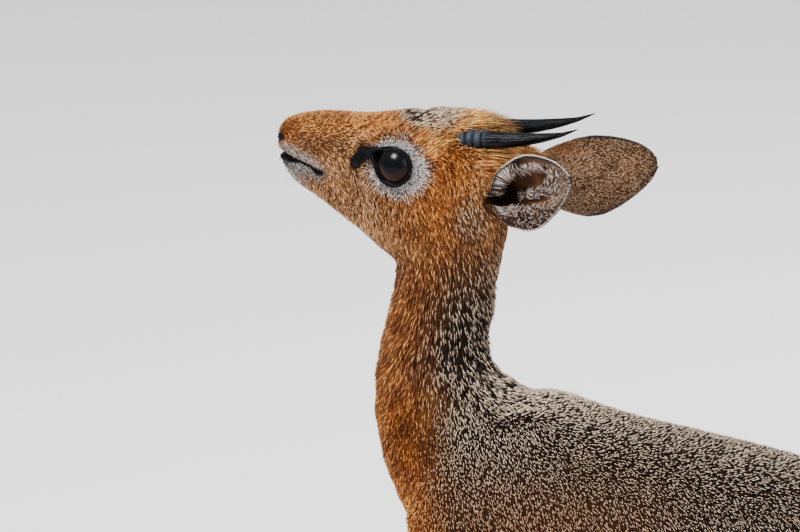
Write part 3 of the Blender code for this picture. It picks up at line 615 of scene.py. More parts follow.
def marks_at(points, normals):
    """Rufous, grizzle, pale and dark, each from 0 to 1."""
    x, y, z = points.T
    across = np.abs(y)
    head = head_share(points)
    trunk = rise(z, 0.225, 0.262)
    face, body = face_marks(points), body_marks(points)
    rufous = face[0] * head + body[0] * (1 - head)
    grizzle = face[1] * head + body[1] * (1 - head)

    belly = rise(-normals[:, 2], 0.15, 0.85) * (1 - rise(z, 0.285, 0.315)) * trunk
    belly = belly * rise(x, -0.075, -0.045)
    inner_leg = rise(-np.sign(y) * normals[:, 1], 0.2, 0.8) * (1 - rise(z, 0.24, 0.29))
    inner_leg = inner_leg * rise(z, 0.04, 0.10) * rise(across, 0.012, 0.020)
    under_tail = rise(x, 0.225, 0.240) * rise(-normals[:, 2], 0.0, 0.5) * trunk
    distance, bearing = around_eye(points)
    width = np.interp(bearing, *RING_WIDTH) / 1000
    ring = (1 - rise(distance, width - 0.0020, width + 0.0030)) * (across > 0.012) * head
    lip = (1 - rise(near_line(points, MOUTH_LINE), 0.0030, 0.0060)) * head
    chin = spot(points, (-0.168, 0.0, 0.5115), (0.010, 0.02, 0.0075)) * head
    under_lip = np.interp(x, *np.array(MOUTH_LINE).T) - z
    upper_lip = (under_lip < 0) * (1 - rise(-under_lip, 0.0050, 0.0105))
    upper_lip = upper_lip * (1 - rise(x, -0.156, -0.142)) * head
    pale = 0.92 * ring + belly + 0.85 * inner_leg + 0.8 * under_tail
    pale = pale + np.maximum(0.50 * lip + 0.74 * chin, 0.52 * upper_lip)

    # The dark at the bottom of the ears' hollows is painted shade.
    dark = np.maximum(bare(points), np.maximum(0.75 * ear_floor(points), 0.28 * lip))
    dark = np.maximum(dark, 0.85 * (1 - rise(gland_distance(points), 0.0040, 0.0056)) * head)
    bridge = near_line(points, BRIDGE_LINE)
    dark = np.maximum(dark, (1 - rise(bridge, 0.0032, 0.0044)) * (across > 0.012) * head)
    shade = (1 - rise(under_lip, 0.0030, 0.0110)) * (under_lip > 0) * (1 - rise(x, -0.164, -0.154))
    dark = np.maximum(dark, 0.66 * shade * head)
    below_gland = near_line(points, ((-0.1215, 0.5205), (-0.1130, 0.5235)))
    dark = np.maximum(dark, 0.55 * (1 - rise(below_gland, 0.001, 0.005)) * (across > 0.012) * head)
    between_horns = rise(x, -0.046, -0.036) * rise(z, 0.520, 0.528)
    dark = np.maximum(dark, 0.86 * between_horns * (1 - rise(across, 0.014, 0.020)) * head)
    dark = np.maximum(dark, 0.75 * (1 - rise(z, 0.012, 0.026)))
    return np.clip(np.column_stack([rufous, grizzle, pale, dark]), 0, 1)


# %% [markdown]
# ## The colour of the coat
#
# One node group turns the four marks into colour, for hair and skin alike. It also reads how far
# along its tuft a point lies, so that grizzled hair gets its cream band, and a random number that
# is the same all over one tuft, so that no two neighbours match. Doing this in nodes instead of
# painting it keeps the flecks as fine as the hair itself.

# %% Node helpers and the coat's colour group
DEEP_FAWN, FAWN, LIGHT_FAWN = (
    (0.028, 0.0095, 0.0030, 1), (0.160, 0.066, 0.022, 1), (0.520, 0.290, 0.145, 1),
)
DEEP_RUFOUS, RUFOUS, LIGHT_RUFOUS = (
    (0.036, 0.0080, 0.0014, 1), (0.205, 0.055, 0.0075, 1), (0.600, 0.250, 0.048, 1),
)
# The gold of the brightest tips is partly the hair's own colour and partly painted highlight.
GOLD_AND_HIGHLIGHT = (1.000, 0.600, 0.190, 1)
CREAM, TAN = (0.530, 0.420, 0.315, 1), (0.450, 0.240, 0.115, 1)
UMBER, CHESTNUT = (0.0072, 0.0040, 0.0023, 1), (0.042, 0.0135, 0.0048, 1)
WHITE, GREY = (0.550, 0.535, 0.525, 1), (0.040, 0.035, 0.034, 1)
BLACK = (0.0009, 0.0009, 0.0011, 1)


class Graph:
    """A short way to write nodes and links of one material or group."""

    def __init__(self, tree):
        self.tree = tree

    def node(self, kind, **settings):
        node = self.tree.nodes.new("ShaderNode" + kind)
        for key, value in settings.items():
            setattr(node, key, value)
        return node

    def feed(self, socket, value):
        if isinstance(value, bpy.types.NodeSocket):
            self.tree.links.new(value, socket)
        else:
            socket.default_value = value

    def math(self, operation, *values):
        node = self.node("Math", operation=operation)
        for socket, value in zip(node.inputs, values):
            self.feed(socket, value)
        return node.outputs[0]

    def blend(self, factor, first, second, blend_type="MIX"):
        node = self.node("Mix", data_type="RGBA", blend_type=blend_type)
        self.feed(node.inputs["Factor"], factor)
        self.feed(node.inputs["A"], first)
        self.feed(node.inputs["B"], second)
        return node.outputs["Result"]

    def span(self, value, low, high, to_low=0.0, to_high=1.0):
        node = self.node("MapRange", interpolation_type="SMOOTHSTEP")
        for socket, given in zip(node.inputs, (value, low, high, to_low, to_high)):
            self.feed(socket, given)
        return node.outputs["Result"]

    def noise(self, vector, scale, detail=3.0):
        node = self.node("TexNoise")
        self.feed(node.inputs["Vector"], vector)
        self.feed(node.inputs["Scale"], scale)
        self.feed(node.inputs["Detail"], detail)
        return node.outputs["Fac"]

    def bump(self, height, distance, strength):
        node = self.node("Bump")
        self.feed(node.inputs["Height"], height)
        self.feed(node.inputs["Distance"], distance)
        self.feed(node.inputs["Strength"], strength)
        return node.outputs["Normal"]

    def attribute(self, name, output="Fac"):
        return self.node("Attribute", attribute_name=name).outputs[output]


def coat_colour_group():
    tree = bpy.data.node_groups.new("coat_colour", "ShaderNodeTree")
    for label in (*(mark.title() for mark in MARKS), "Along", "Draw"):
        tree.interface.new_socket(label, in_out="INPUT", socket_type="NodeSocketFloat")
    tree.interface.new_socket("Root", in_out="INPUT", socket_type="NodeSocketVector")
    tree.interface.new_socket("Colour", in_out="OUTPUT", socket_type="NodeSocketColor")
    g = Graph(tree)
    take = tree.nodes.new("NodeGroupInput").outputs
    end = tree.nodes.new("NodeGroupOutput")
    along, draw = take["Along"], take["Draw"]
    # Tone rises from root to tip: deep roots are partly painted shade deep in the coat, and the
    # lightest tips partly painted highlight.
    tone = g.math("ADD", g.math("MULTIPLY", draw, 0.62), g.math("MULTIPLY", along, 0.50))
    tone = g.math("ADD", tone, g.span(g.noise(take["Root"], 90.0), 0.3, 0.7, -0.10, 0.10))
    light, deep = g.span(tone, 0.66, 1.04), g.span(tone, 0.64, 0.22)
    fawn = g.blend(deep, g.blend(light, FAWN, LIGHT_FAWN), DEEP_FAWN)
    rufous = g.blend(deep, g.blend(light, RUFOUS, LIGHT_RUFOUS), DEEP_RUFOUS)
    hair = g.blend(take["Rufous"], fawn, rufous)
    # The brightest tips turn gold, partly as painted highlight.
    hair = g.blend(g.span(tone, 1.04, 1.26), hair, GOLD_AND_HIGHLIGHT)

    band = g.math("MULTIPLY", g.span(along, 0.54, 0.64), g.span(along, 1.06, 0.96))
    fleck = g.math("MULTIPLY", band, g.span(draw, 0.56, 0.72))
    salt = g.blend(take["Rufous"], CREAM, TAN)
    pepper = g.blend(take["Rufous"], UMBER, CHESTNUT)
    hair = g.blend(take["Grizzle"], hair, g.blend(fleck, pepper, salt))

    # Pale hair is grey at its root, partly as painted shade deep in the coat.
    white = g.blend(g.span(along, 0.0, 0.4), GREY, WHITE)
    white = g.blend(g.span(draw, 0.30, 0.14), white, GREY)
    hair = g.blend(take["Pale"], hair, white)
    g.feed(end.inputs["Colour"], g.blend(take["Dark"], hair, BLACK))
    return tree


coat_colour = coat_colour_group()


def new_material(name):
    material = bpy.data.materials.new(name)
    material.use_nodes = True
    return material, Graph(material.node_tree), material.node_tree.nodes["Principled BSDF"]


def coat_colour_in(g, along, draw):
    node = g.node("Group", node_tree=coat_colour)
    for mark in MARKS:
        g.feed(node.inputs[mark.title()], g.attribute(mark))
    g.feed(node.inputs["Along"], along)
    g.feed(node.inputs["Draw"], draw)
    g.feed(node.inputs["Root"], g.attribute("root", "Vector"))
    return node.outputs["Colour"]


def hair_material():
    material, g, shader = new_material("coat_hair")
    colour = coat_colour_in(g, g.attribute("along"), g.attribute("draw"))
    g.feed(shader.inputs["Base Color"], colour)
    g.feed(shader.inputs["Roughness"], 0.60)
    g.feed(shader.inputs["Specular IOR Level"], 0.16)
    return material


def skin_material():
    material, g, shader = new_material("skin_under_the_coat")
    own = g.attribute("root", "Vector")
    grain = g.noise(own, 1500.0, 2.0)
    # The skin takes the deep tone of the hairs' lower part: under the coat this is painted shade
    # between the tufts.
    colour = coat_colour_in(g, 0.30, g.span(grain, 0.35, 0.65, 0.0, 0.6))
    g.feed(shader.inputs["Base Color"], colour)
    g.feed(shader.inputs["Roughness"], g.span(g.attribute("dark"), 0.2, 0.9, 0.85, 0.45))
    g.feed(shader.inputs["Specular IOR Level"], 0.06)
    g.feed(shader.inputs["Normal"], g.bump(g.noise(own, 2200.0, 3.0), 0.0006, 0.5))
    return material


coat_hair = hair_material()
skin_finish = skin_material()
print("coat materials:", coat_hair.name, "and", skin_finish.name)

# %% [markdown]
# ## A flat plan of the body
#
# When the model is exported, its colours are baked into a flat picture, so each piece needs a plan
# that says where on the picture every face goes. The plan here is the one a tailor would chalk:
# the piece seen from its six sides, each view in a tile of its own. A tuft gets a small patch of
# the tile at the place of its root.

# %% Six-sided plan for the baked colours
PATCH = 0.003


def plan_of(points, normals, low, high):
    """Where each point goes on a sheet of 3 by 2 tiles, by the side that its normal faces."""
    size = np.maximum(high - low, 1e-6)
    share = (points - low) / size
    axis = np.abs(normals).argmax(axis=1)
    sign = np.take_along_axis(normals, axis[:, None], 1)[:, 0] > 0
    first = np.where(axis == 0, 1, 0)
    second = np.where(axis == 2, 1, 2)
    u = np.take_along_axis(share, first[:, None], 1)[:, 0]
    v = np.take_along_axis(share, second[:, None], 1)[:, 0]
    u = (axis + 0.04 + 0.92 * u) / 3
    v = (sign + 0.04 + 0.92 * v) / 2
    return np.column_stack([u, v])


def write_plan(mesh, corner_places):
    layer = mesh.uv_layers.new(name="OFBake")
    layer.uv.foreach_set("vector", corner_places.astype(np.float32).ravel())


def plan_faces(obj):
    """A plan for a plain piece, face by face."""
    mesh = obj.data
    points = own_points(mesh)
    facing = get(mesh.polygons, "normal", 3)
    totals = np.empty(len(mesh.polygons), np.int32)
    mesh.polygons.foreach_get("loop_total", totals)
    corners = np.empty(len(mesh.loops), np.int32)
    mesh.loops.foreach_get("vertex_index", corners)
    per_corner = np.repeat(facing, totals, axis=0)
    write_plan(mesh, plan_of(points[corners], per_corner, points.min(0), points.max(0)))


# %% [markdown]
# ## Finish the skin
#
# The melted surface has hundreds of thousands of points, which the tufts use as places to grow
# from. The skin that shows needs far fewer, so it is thinned out, and its marks are stored on
# what is left.

# %% Thin out and colour the skin
SKIN_FACES = 150000


def store_marks(mesh, marks, root):
    """Keeps the four marks of each point, and the place where its colour is looked up."""
    for mark, values in zip(MARKS, marks.T):
        store(mesh, mark, values)
    store(mesh, "root", root)


add_modifier(skin, "DECIMATE", ratio=SKIN_FACES / (2 * len(skin.data.polygons)))
apply_modifiers(skin)
points = own_points(skin.data)
store_marks(skin.data, marks_at(points, get(skin.data.vertices, "normal", 3)), points)
plan_faces(skin)
dress(skin, skin_finish, FLESH)

# %% [markdown]
# ## The lie of the hair
#
# Hair is combed by the way the animal's skin grew: back from the nose, down the cheeks and the
# neck, back along the spine, down the legs, and out in a star from each eye. The function below
# gives that direction for any point of the body, flattened onto the skin.

# %% Direction of the hair for any point
def flattened(directions, normals):
    inward = (directions * normals).sum(axis=1, keepdims=True)
    return unit(directions - normals * inward)


def lie_of_hair(points, normals):
    x, _, z = points.T
    head = rise(neck_side(points), -0.015, 0.020)[:, None]
    trunk = rise(z, 0.225, 0.290)[:, None]
    top = np.interp(x, *np.array(PROFILE).T)
    low_cheek = rise(top - z, 0.008, 0.040)[:, None]
    face = (1 - low_cheek) * (1.0, 0, 0.02) + low_cheek * (0.42, 0, -0.95)
    star = np.zeros_like(points)
    for side in (LEFT, RIGHT):
        centre, axis, _, _ = eye_frame(side)
        away = points - centre
        near = beside_eye(away, axis)
        star[near] = unit(away[near])
    ring = (1 - rise(lid_distance(points), 0.005, 0.016))[:, None]
    face = face * (1 - 0.85 * ring) + star * 1.2 * ring

    front = frontness(points)[:, None]
    neck = np.array((0.0, 0, -1.0)) - front * (0.28, 0, 0)
    level = rise(z, 0.30, 0.37)[:, None]
    body = level * (0.85, 0, -0.52) + (1 - level) * (0.70, 0, -0.72)
    shoulder = (1 - rise(x, -0.07, 0.05))[:, None]
    body = body * (1 - shoulder) + shoulder * (0.40, 0, -0.92)
    haunch = rise(x, 0.13, 0.19)[:, None]
    body = body * (1 - haunch) + haunch * (0.75, 0, -0.75)
    on_neck = (rise(z, 0.352, 0.412) * (1 - rise(x, -0.05, 0.02)))[:, None]
    body = neck * on_neck + body * (1 - on_neck)
    body = body * trunk + (1 - trunk) * (0.10, 0, -1.0)
    tail = (rise(x, 0.244, 0.250) * (z > 0.24))[:, None]
    body = body * (1 - tail) + tail * (0.3, 0, -1.0)
    return flattened(face * head + body * (1 - head), normals)


# %% [markdown]
# ## Tufts
#
# A tuft is a tiny solid of four faces, shaped like a long kite: a root under the skin, two
# corners well past the middle, and a tip. It is widest near its tip, because that is the part
# that shows between its neighbours. Four faces is as few as a closed solid can have, which
# leaves enough for a few hundred thousand tufts.

# %% Make many tufts at once
KITE_ALONG, KITE_HEIGHT = 0.66, 0.80
TUFT_LIMIT = 48000
SHORTEST = 0.0008
TUFT_FACES = np.array(((0, 1, 3), (2, 0, 3), (1, 0, 2), (1, 2, 3)))


def ripples(points, seed, sizes):
    """The sum of one smooth wave of each size, each running in a direction of its own."""
    draw = np.random.default_rng(seed)
    total = np.zeros(len(points))
    for size in sizes:
        direction = unit(draw.normal(size=3)) * math.tau / size
        total += np.sin(points @ direction + draw.uniform(0, math.tau))
    return total


def waves(points, seed):
    """A slow random field from -1 to 1, that makes neighbouring tufts lean alike."""
    return ripples(points, seed, (0.022, 0.011, 0.006)) / 3


def clumps(points):
    """A fine random field from -1 to 1, a few hairs wide."""
    return np.clip(ripples(points, 11, (0.0022, 0.0027, 0.0035, 0.0046) * 2) / 3.2, -1, 1)


def tuft_points(place, normal, lie, length, width, lift):
    half = np.cross(lie, normal) * (width / 2)[:, None]
    root = place - normal * 0.0004
    wide = place + lie * (length * KITE_ALONG)[:, None]
    wide = wide + normal * (lift * KITE_HEIGHT)[:, None]
    tip = place + lie * length[:, None] + normal * lift[:, None]
    low = wide - normal * (width * 0.22)[:, None]
    return np.stack([root, low - half, low + half, tip + normal * 0.00002], axis=1)


def make_hairs(name, corners, faces, along, offsets, place, normal, marks, draw):
    """One piece of coat. Corners has a row of points for each hair, and faces are those of one."""
    count, per = corners.shape[:2]
    all_faces = (np.arange(count)[:, None, None] * per + faces).reshape(-1, 3)
    obj = mesh_from(name, corners.reshape(-1, 3), all_faces)
    store(obj.data, "along", np.tile(along, count))
    store(obj.data, "draw", np.repeat(draw, per))
    every_mark = np.repeat(np.broadcast_to(marks, (count, 4)), per, axis=0)
    store_marks(obj.data, every_mark, np.repeat(place, per, axis=0))
    spot_on_plan = plan_of(place, normal, place.min(0), place.max(0))
    patch = spot_on_plan[:, None, None, :] + (offsets * PATCH / 2)[faces][None]
    write_plan(obj.data, patch.reshape(-1, 2))
    return dress(obj, coat_hair)


def grow(name, place, normal, lie, length, width, lift, marks, draw, slot="coat"):
    """Tufts, from arrays that hold one row for each."""
    corners = tuft_points(place, normal, lie, length, width, lift)
    along = (0.0, KITE_ALONG, KITE_ALONG, 1.0)
    offsets = np.array(((0, -1), (-1, 0), (1, 0), (0, 1)))
    return make_hairs(
        name, corners, TUFT_FACES, along, offsets, place, normal, marks, draw
    )


# %% [markdown]
# ## Where tufts grow, and how big they are
#
# The hair of the neck is nearly a centimetre long, that of the back about half of that, and that of
# the nose a few millimetres. It stands closest on the face, where it is short. Roots are picked at
# random from the melted surface, whose points lie a millimetre apart, and shaken a little so that
# no rows show. Light hairs lie on top and dark ones under them, which is what makes a coat look
# deep.

# %% Density, length, width and lift of the tufts
def tuft_sizes(points):
    """Tufts to each root point, their length, width and lift, in metres."""
    x, _, z = points.T
    head = head_share(points)
    neck = rise(z, 0.345, 0.40) * (1 - rise(x, -0.05, 0.02))
    leg = 1 - rise(z, 0.18, 0.25)
    foot = 1 - rise(z, 0.02, 0.07)
    muzzle = (1 - rise(x, -0.160, -0.115)) * head
    near_eye = (1 - rise(lid_distance(points), 0.002, 0.012)) * head
    top = crown(points) * head
    line = near_line(points, MOUTH_LINE) + (x > -0.144)
    close = np.minimum(gland_distance(points) - 0.0036, line - 0.0018)
    close = (1 - rise(close, 0.0004, 0.0050)) * head
    trunk = (1 - neck) * (1 - head) * (1 - leg)
    density = 0.84 + 0.33 * head + 0.4 * close - 0.16 * leg + 0.40 * muzzle + 1.3 * near_eye
    length = 0.0066 + 0.0026 * neck * (1 - head) - 0.0002 * head - 0.0014 * leg - 0.0018 * trunk
    length = length + 0.0030 * top - 0.0028 * muzzle - 0.0035 * near_eye - 0.0012 * foot
    length = length * (1 - 0.45 * (1 - rise(lid_distance(points), 0.0010, 0.0045)) * head)
    length = length * (1 - 0.62 * close)
    length = length * (1 - 0.60 * rise(x, -0.048, -0.036) * top)
    withers = spot(points, (-0.012, 0.0, 0.388), (0.036, 0.030, 0.026))
    withers = np.maximum(withers, 0.8 * spot(points, (-0.036, 0.0, 0.392), (0.018, 0.03, 0.026)))
    length = length + 0.0020 * withers
    width = 0.00029 + 0.00002 * neck + 0.00023 * head + 0.00027 * leg
    on_horn = (1 - rise(horn_distance(points), 0.0010, 0.0060)) * head
    length = length * (1 - 0.5 * on_horn)
    width = width - 0.00010 * muzzle - 0.00026 * near_eye
    return density, np.maximum(length, SHORTEST), width, coat_depth(points) + 0.0022 * withers


def region_of(points):
    """0 head, 1 neck, 2 chest, 3 barrel, 4 rump and tail, 5 forelegs, 6 hind legs."""
    x, _, z = points.T
    region = np.full(len(points), 4)
    region[x < 0.128] = 3
    region[x < 0.022] = 2
    region[((points - (-0.065, 0, 0.384)) @ np.array((-0.18, 0, 1.0)) > 0) & (x < 0.0)] = 1
    region[neck_side(points) > 0] = 0
    region[(z < 0.235) & (x < 0.09)] = 5
    region[(z < 0.235) & (x > 0.09)] = 6
    return region


REGIONS = ("head", "neck", "chest", "barrel", "rump", "forelegs", "hindlegs")


def darkening_with_painted_shade(points, grizzle):
    """How much darker than usual the hairs of a place are. On the throat, the jaw and the cheek
    below the eye this is painted shade; the crown patch is the coat's own darker mark.
    """
    x, _, z = points.T
    head = head_share(points)
    upper = rise(neck_side(points), -0.005, 0.042)
    # Throat, jaw and the cheek below the eye get darker hair as painted shade.
    throat = (1 - upper) * rise(z, 0.30, 0.36) * (1 - rise(x, -0.05, 0.0)) * (1 - grizzle)
    patch = rise(spot(points, PATCH_CENTRE, PATCH_RADII), 0.16, 0.50)
    jaw = spot(points, (-0.078, 0.024, 0.500), (0.020, 0.02, 0.026))
    below_eye = spot(points, (-0.104, 0.022, 0.504), (0.018, 0.02, 0.012))
    leg = 1 - rise(z, 0.16, 0.26)
    dark_front = 0.19 - 0.26 * rise(x, -0.088, -0.074)
    muzzle_side = spot(points, (-0.138, 0.0, 0.528), (0.020, 0.03, 0.014))
    behind_eye = spot(points * (1, 0, 1), (-0.070, 0.0, 0.526), (0.010, 0.02, 0.014))
    on_head = dark_front * patch + 0.10 * jaw + 0.20 * below_eye + 0.10 * muzzle_side
    nose_top = rise(z, 0.533, 0.545) * (1 - rise(x, -0.130, -0.105))
    on_head = on_head + 0.22 * behind_eye - 0.14 * nose_top
    neck = rise(z, 0.365, 0.415) * (1 - rise(x, -0.025, 0.010)) * (1 - head)
    shoulder = spot(points * (1, 0, 1), (-0.045, 0.0, 0.350), (0.050, 0.02, 0.030))
    flecked = grizzle * (0.29 * neck - 0.09 * shoulder)
    return 0.50 * throat + on_head * head + flecked - 0.10 * leg


def shaken(place, normal, lie, length, width, lift, draw):
    """Random differences between tufts, with slow waves that make them clump."""
    count = len(place)
    length = length * rng.uniform(0.72, 1.18, count) * (1 + 0.10 * waves(place, 5))
    lift = lift * (0.50 + 0.70 * draw) * (1 + 0.12 * waves(place, 6)) + 0.0002
    width = width * rng.uniform(0.75, 1.2, count)
    turn = 0.15 * rng.normal(size=count) + 0.20 * waves(place, 7)
    lie = unit(lie + np.cross(normal, lie) * turn[:, None])
    return place, normal, lie, length, width, lift


STRAY = 0.0013
CELL = 0.0025
GOLDEN = 0.618034


def even_draws(points):
    """Random numbers from 0 to 1 that differ well between neighbours."""
    cell = np.floor(points / CELL).astype(int)
    order = np.lexsort(cell.T)
    draws = np.empty(len(points))
    draws[order] = np.arange(len(points)) * GOLDEN
    return (draws + rng.uniform(0, 0.25, len(points))) % 1


def coat(place, normal):
    """All the body's tufts. Their marks are read a stray step away, which blurs every border."""
    density, length, width, lift = tuft_sizes(place)
    density = density * (1 - bare(place)) * (place[:, 2] > 0.012) * (1 - ear_floor(place))
    count = np.floor(density + rng.random(len(place))).astype(int)
    pick = np.repeat(np.arange(len(place)), count)
    normal = normal[pick]
    shake = flattened(rng.normal(size=(len(pick), 3)), normal)
    place = place[pick] + shake * rng.uniform(0, GRAIN * 0.75, len(pick))[:, None]
    marks = marks_at(place + rng.normal(size=place.shape) * STRAY, normal)
    plain = 1 - marks[:, 1]
    leg = 1 - rise(place[:, 2], 0.20, 0.28)
    spread, clump = 1 - plain * (0.10 + 0.30 * leg), 0.22 * plain * (1 - 0.9 * leg)
    draw = (even_draws(place) - 0.5) * spread + 0.5 + clump * clumps(place)
    draw = np.clip(draw, 0, 1)
    lie = lie_of_hair(place, normal)
    tufts = shaken(place, normal, lie, length[pick], width[pick], lift[pick], draw)
    on_top = 0.13 * rise(normal[:, 2], 0.40, 0.90) * marks[:, 1] * (place[:, 2] < 0.45)
    draw = draw - darkening_with_painted_shade(place, marks[:, 1]) * rng.choice((0.2, 1.8), len(pick)) - on_top
    return *tufts, marks, np.clip(draw, 0, 1)


tufts = coat(roots, root_normals)
tuft_region = region_of(tufts[0])
for index, word in enumerate(REGIONS):
    found = np.nonzero(tuft_region == index)[0]
    parts = max(1, math.ceil(len(found) / TUFT_LIMIT))
    order = found[np.argsort(tufts[0][found, 1], kind="stable")]
    for number, chosen in enumerate(np.array_split(order, parts)):
        suffix = "" if parts == 1 else "_" + "abcdefgh"[number]
        grow(f"coat_{word}{suffix}", *[values[chosen] for values in tufts])
print("tufts:", len(tufts[0]))

# %% [markdown]
# ## Long hairs
#
# The crest, the fringes of the ears, whiskers and eyelashes are long enough to bend. Each is a
# three-sided strand with a bend and a fine tip. They share the coat's colours, so a strand
# only needs to know its marks.

# %% Make many bent strands at once
LEVELS = np.array((-0.04, 0.52, 1.0))
THICKNESS = np.array((0.85, 1.0))
STRAND_FACES = [(0, 1, 2)]
for k in range(3):
    a, b = k, (k + 1) % 3
    STRAND_FACES += [(a, a + 3, b + 3), (a, b + 3, b), (a + 3, 6, b + 3)]
STRAND_FACES = np.array(STRAND_FACES)


def strands(name, place, normal, lie, length, width, lift, bend, marks, draw, slot="coat"):
    """Bent strands. Lift is the rise of the tip over the root, bend the bulge of the middle."""
    width = np.broadcast_to(width, len(place))
    draw = np.broadcast_to(draw, len(place))
    side = np.cross(lie, normal)
    rows = []
    for level, size in zip(LEVELS, (*THICKNESS, 0.0)):
        rise_here = lift * level + bend * 4 * level * (1 - level)
        centre = place + lie * (length * level)[:, None] + normal * rise_here[:, None]
        if size == 0.0:
            rows.append(centre)
            continue
        for turn in (90, 210, 330):
            out = side * math.cos(math.radians(turn)) + normal * 0.5 * math.sin(math.radians(turn))
            rows.append(centre + out * (width * size / 2)[:, None])
    number = np.arange(len(rows))
    along = np.maximum(LEVELS[number // 3], 0.0)
    offsets = np.column_stack([number % 3 - 1.0, 2 * along - 1])
    return make_hairs(
        name, np.stack(rows, axis=1), STRAND_FACES, along, offsets, place, normal, marks, draw
    )


def ruffled(lie, amount):
    """Directions, each turned a little at random."""
    return unit(lie + rng.normal(size=lie.shape) * amount)


# %% [markdown]
# ## The crest
#
# A dik-dik wears a tuft of long upright hair between its horns, which rises when it is alarmed.
# The hairs start flat at the forehead and stand up more and more towards the back. They are kept
# short where they would cross the roots of the horns. Bright orange hair streams back from under
# the horns, and dark hair with golden tips between them.

# %% Grow the crest
def on_skin(chosen, count):
    """Roots picked at random among the points of the skin that a mask allows."""
    found = np.nonzero(chosen)[0]
    pick = rng.choice(found, count)
    shake = rng.normal(size=(count, 3)) * GRAIN * 0.35
    return roots[pick] + flattened(shake, root_normals[pick]) * 0.0004, root_normals[pick]


def grow_crest():
    x, y, z = roots.T
    place, normal = on_skin((x > -0.080) & (x < -0.025) & (z > 0.531) & (abs(y) < 0.020), 4800)
    back = rise(place[:, 0], -0.078, -0.040)
    middle_line = 1 - rise(abs(place[:, 1]), 0.005, 0.016)
    draw = rng.random(len(place))
    sideways = np.column_stack([np.zeros(len(place)), place[:, 1] * 9, np.zeros(len(place))])
    lie = flattened(np.array((1.0, 0, 0.05)) + sideways, normal)
    lie = ruffled(lie, 0.14)
    length = (0.0085 + 0.0080 * back) * rng.uniform(0.7, 1.15, len(place))
    last_tip = -0.046 + 0.018 * rng.random(len(place)) ** 2
    length = np.minimum(length, np.maximum(last_tip - place[:, 0], 0.0) * 1.1 + 0.0035)
    lift = length * (0.26 + 0.46 * back * (0.35 + 0.65 * middle_line)) * (0.6 + 0.6 * draw)
    reach = place + lie * length[:, None] * 0.7 + normal * (lift * 0.7)[:, None]
    over_horn = (horn_distance(reach) < 0.0016) & (place[:, 0] < -0.045)
    length[over_horn] *= 0.35
    lift[over_horn] *= 0.35
    tip = place + lie * length[:, None]
    wild = 0.0036 * rng.random(len(place)) ** 3 * (1 - rise(tip[:, 0], -0.050, -0.038))
    room = np.interp(tip[:, 0], *np.array(PROFILE).T) + 0.0008 + wild - tip[:, 2]
    lift = np.clip(lift, 0, np.maximum(room, 0.0004) / np.maximum(normal[:, 2], 0.3))
    marks = marks_at(place + rng.normal(size=place.shape) * STRAY, normal)
    gold = rise(place[:, 0], -0.074, -0.064)
    marks[:, 0] = marks[:, 0] * (1 - gold) + 0.80 * gold
    marks[:, 1] *= 1 - gold
    far = (tip[:, 0] > -0.040) & (rng.random(len(place)) < 0.65)
    marks[far, 3] = np.maximum(marks[far, 3], 0.78)
    # The front of the crest is pushed towards the gold tips, which are partly painted highlight.
    draw = np.clip(1.15 * draw - 0.10 + 0.44 * gold + 0.60 * clumps(place), 0, 1.6)
    strands("crest", place, normal, lie, length, 0.00050, lift,
            0.05 * length, marks, draw)


def grow_dark_tufts():
    """Dark hairs with golden tips that stream back between the horns."""
    x, y, z = roots.T
    allowed = (x > -0.048) & (x < -0.029) & (z > 0.523) & (z < 0.545) & (abs(y) < 0.013)
    place, normal = on_skin(allowed, 620)
    golden = rng.random(len(place)) < 0.42
    draw = np.where(golden, rng.uniform(0.5, 1.4, len(place)), rng.uniform(0, 0.5, len(place)))
    lie = flattened(np.tile((1.0, 0.0, 0.0), (len(place), 1)), normal) + (0.90, 0, 0.06)
    lie = ruffled(lie, 0.13)
    length = 0.0170 * rng.uniform(0.40, 1.15, len(place))
    marks = np.tile((0.70, 0.0, 0.0, 0.0), (len(place), 1))
    marks[:, 3] = np.where(golden, 0.0, 0.72)
    strands("dark_tufts", place, normal, lie, length, 0.0005,
            0.06 * length, 0.05 * length, marks, draw)


def grow_nape_tufts():
    x, y, z = roots.T
    across = abs(y)
    allowed = (x > -0.050) & (x < -0.022) & (z > 0.518) & (z < 0.536) & (across > 0.005)
    place, normal = on_skin(allowed & (across < 0.026), 2200)
    draw = np.clip(rng.uniform(0.1, 1.3, len(place)) + 0.25 * clumps(place), 0, 1.5)
    lie = flattened(np.tile((1.0, 0.0, -0.10), (len(place), 1)), normal) + (0.55, 0, 0.02)
    lie = ruffled(lie, 0.10)
    length = 0.0185 * rng.uniform(0.45, 1.20, len(place))
    strands("nape_tufts", place, normal, lie, length, 0.0006,
            0.10 * length, 0.06 * length, (0.70, 0.0, 0.0, 0.0), draw)


def grow_gold_streaks():
    """Long bright hairs that sweep up from behind the eye to the front of the horns. Their gold is
    partly painted highlight.
    """
    allowed = spot(roots, (-0.0780, 0.0215, 0.5370), (0.0100, 0.02, 0.0120)) > 0.35
    place, normal = on_skin(allowed & (abs(roots[:, 1]) > 0.010), 1700)
    sweep = unit(np.array((0.80, 0.0, 0.62)))
    clear = horn_distance(place + sweep * 0.0085) > 0.0016
    clear &= horn_distance(place + sweep * 0.0045) > 0.0016
    place, normal = place[clear], normal[clear]
    lie = flattened(np.tile((0.80, 0.0, 0.62), (len(place), 1)), normal)
    lie = ruffled(lie, 0.10)
    length = 0.0085 * rng.uniform(0.6, 1.2, len(place))
    draw = np.clip(rng.uniform(0.45, 1.35, len(place)) + 0.2 * clumps(place), 0, 1.5)
    strands("gold_streaks", place, normal, lie, length, 0.00058,
            0.16 * length * (0.5 + draw), 0.05 * length, (0.80, 0.0, 0.0, 0.0), draw)


grow_crest()
grow_dark_tufts()
grow_nape_tufts()
grow_gold_streaks()

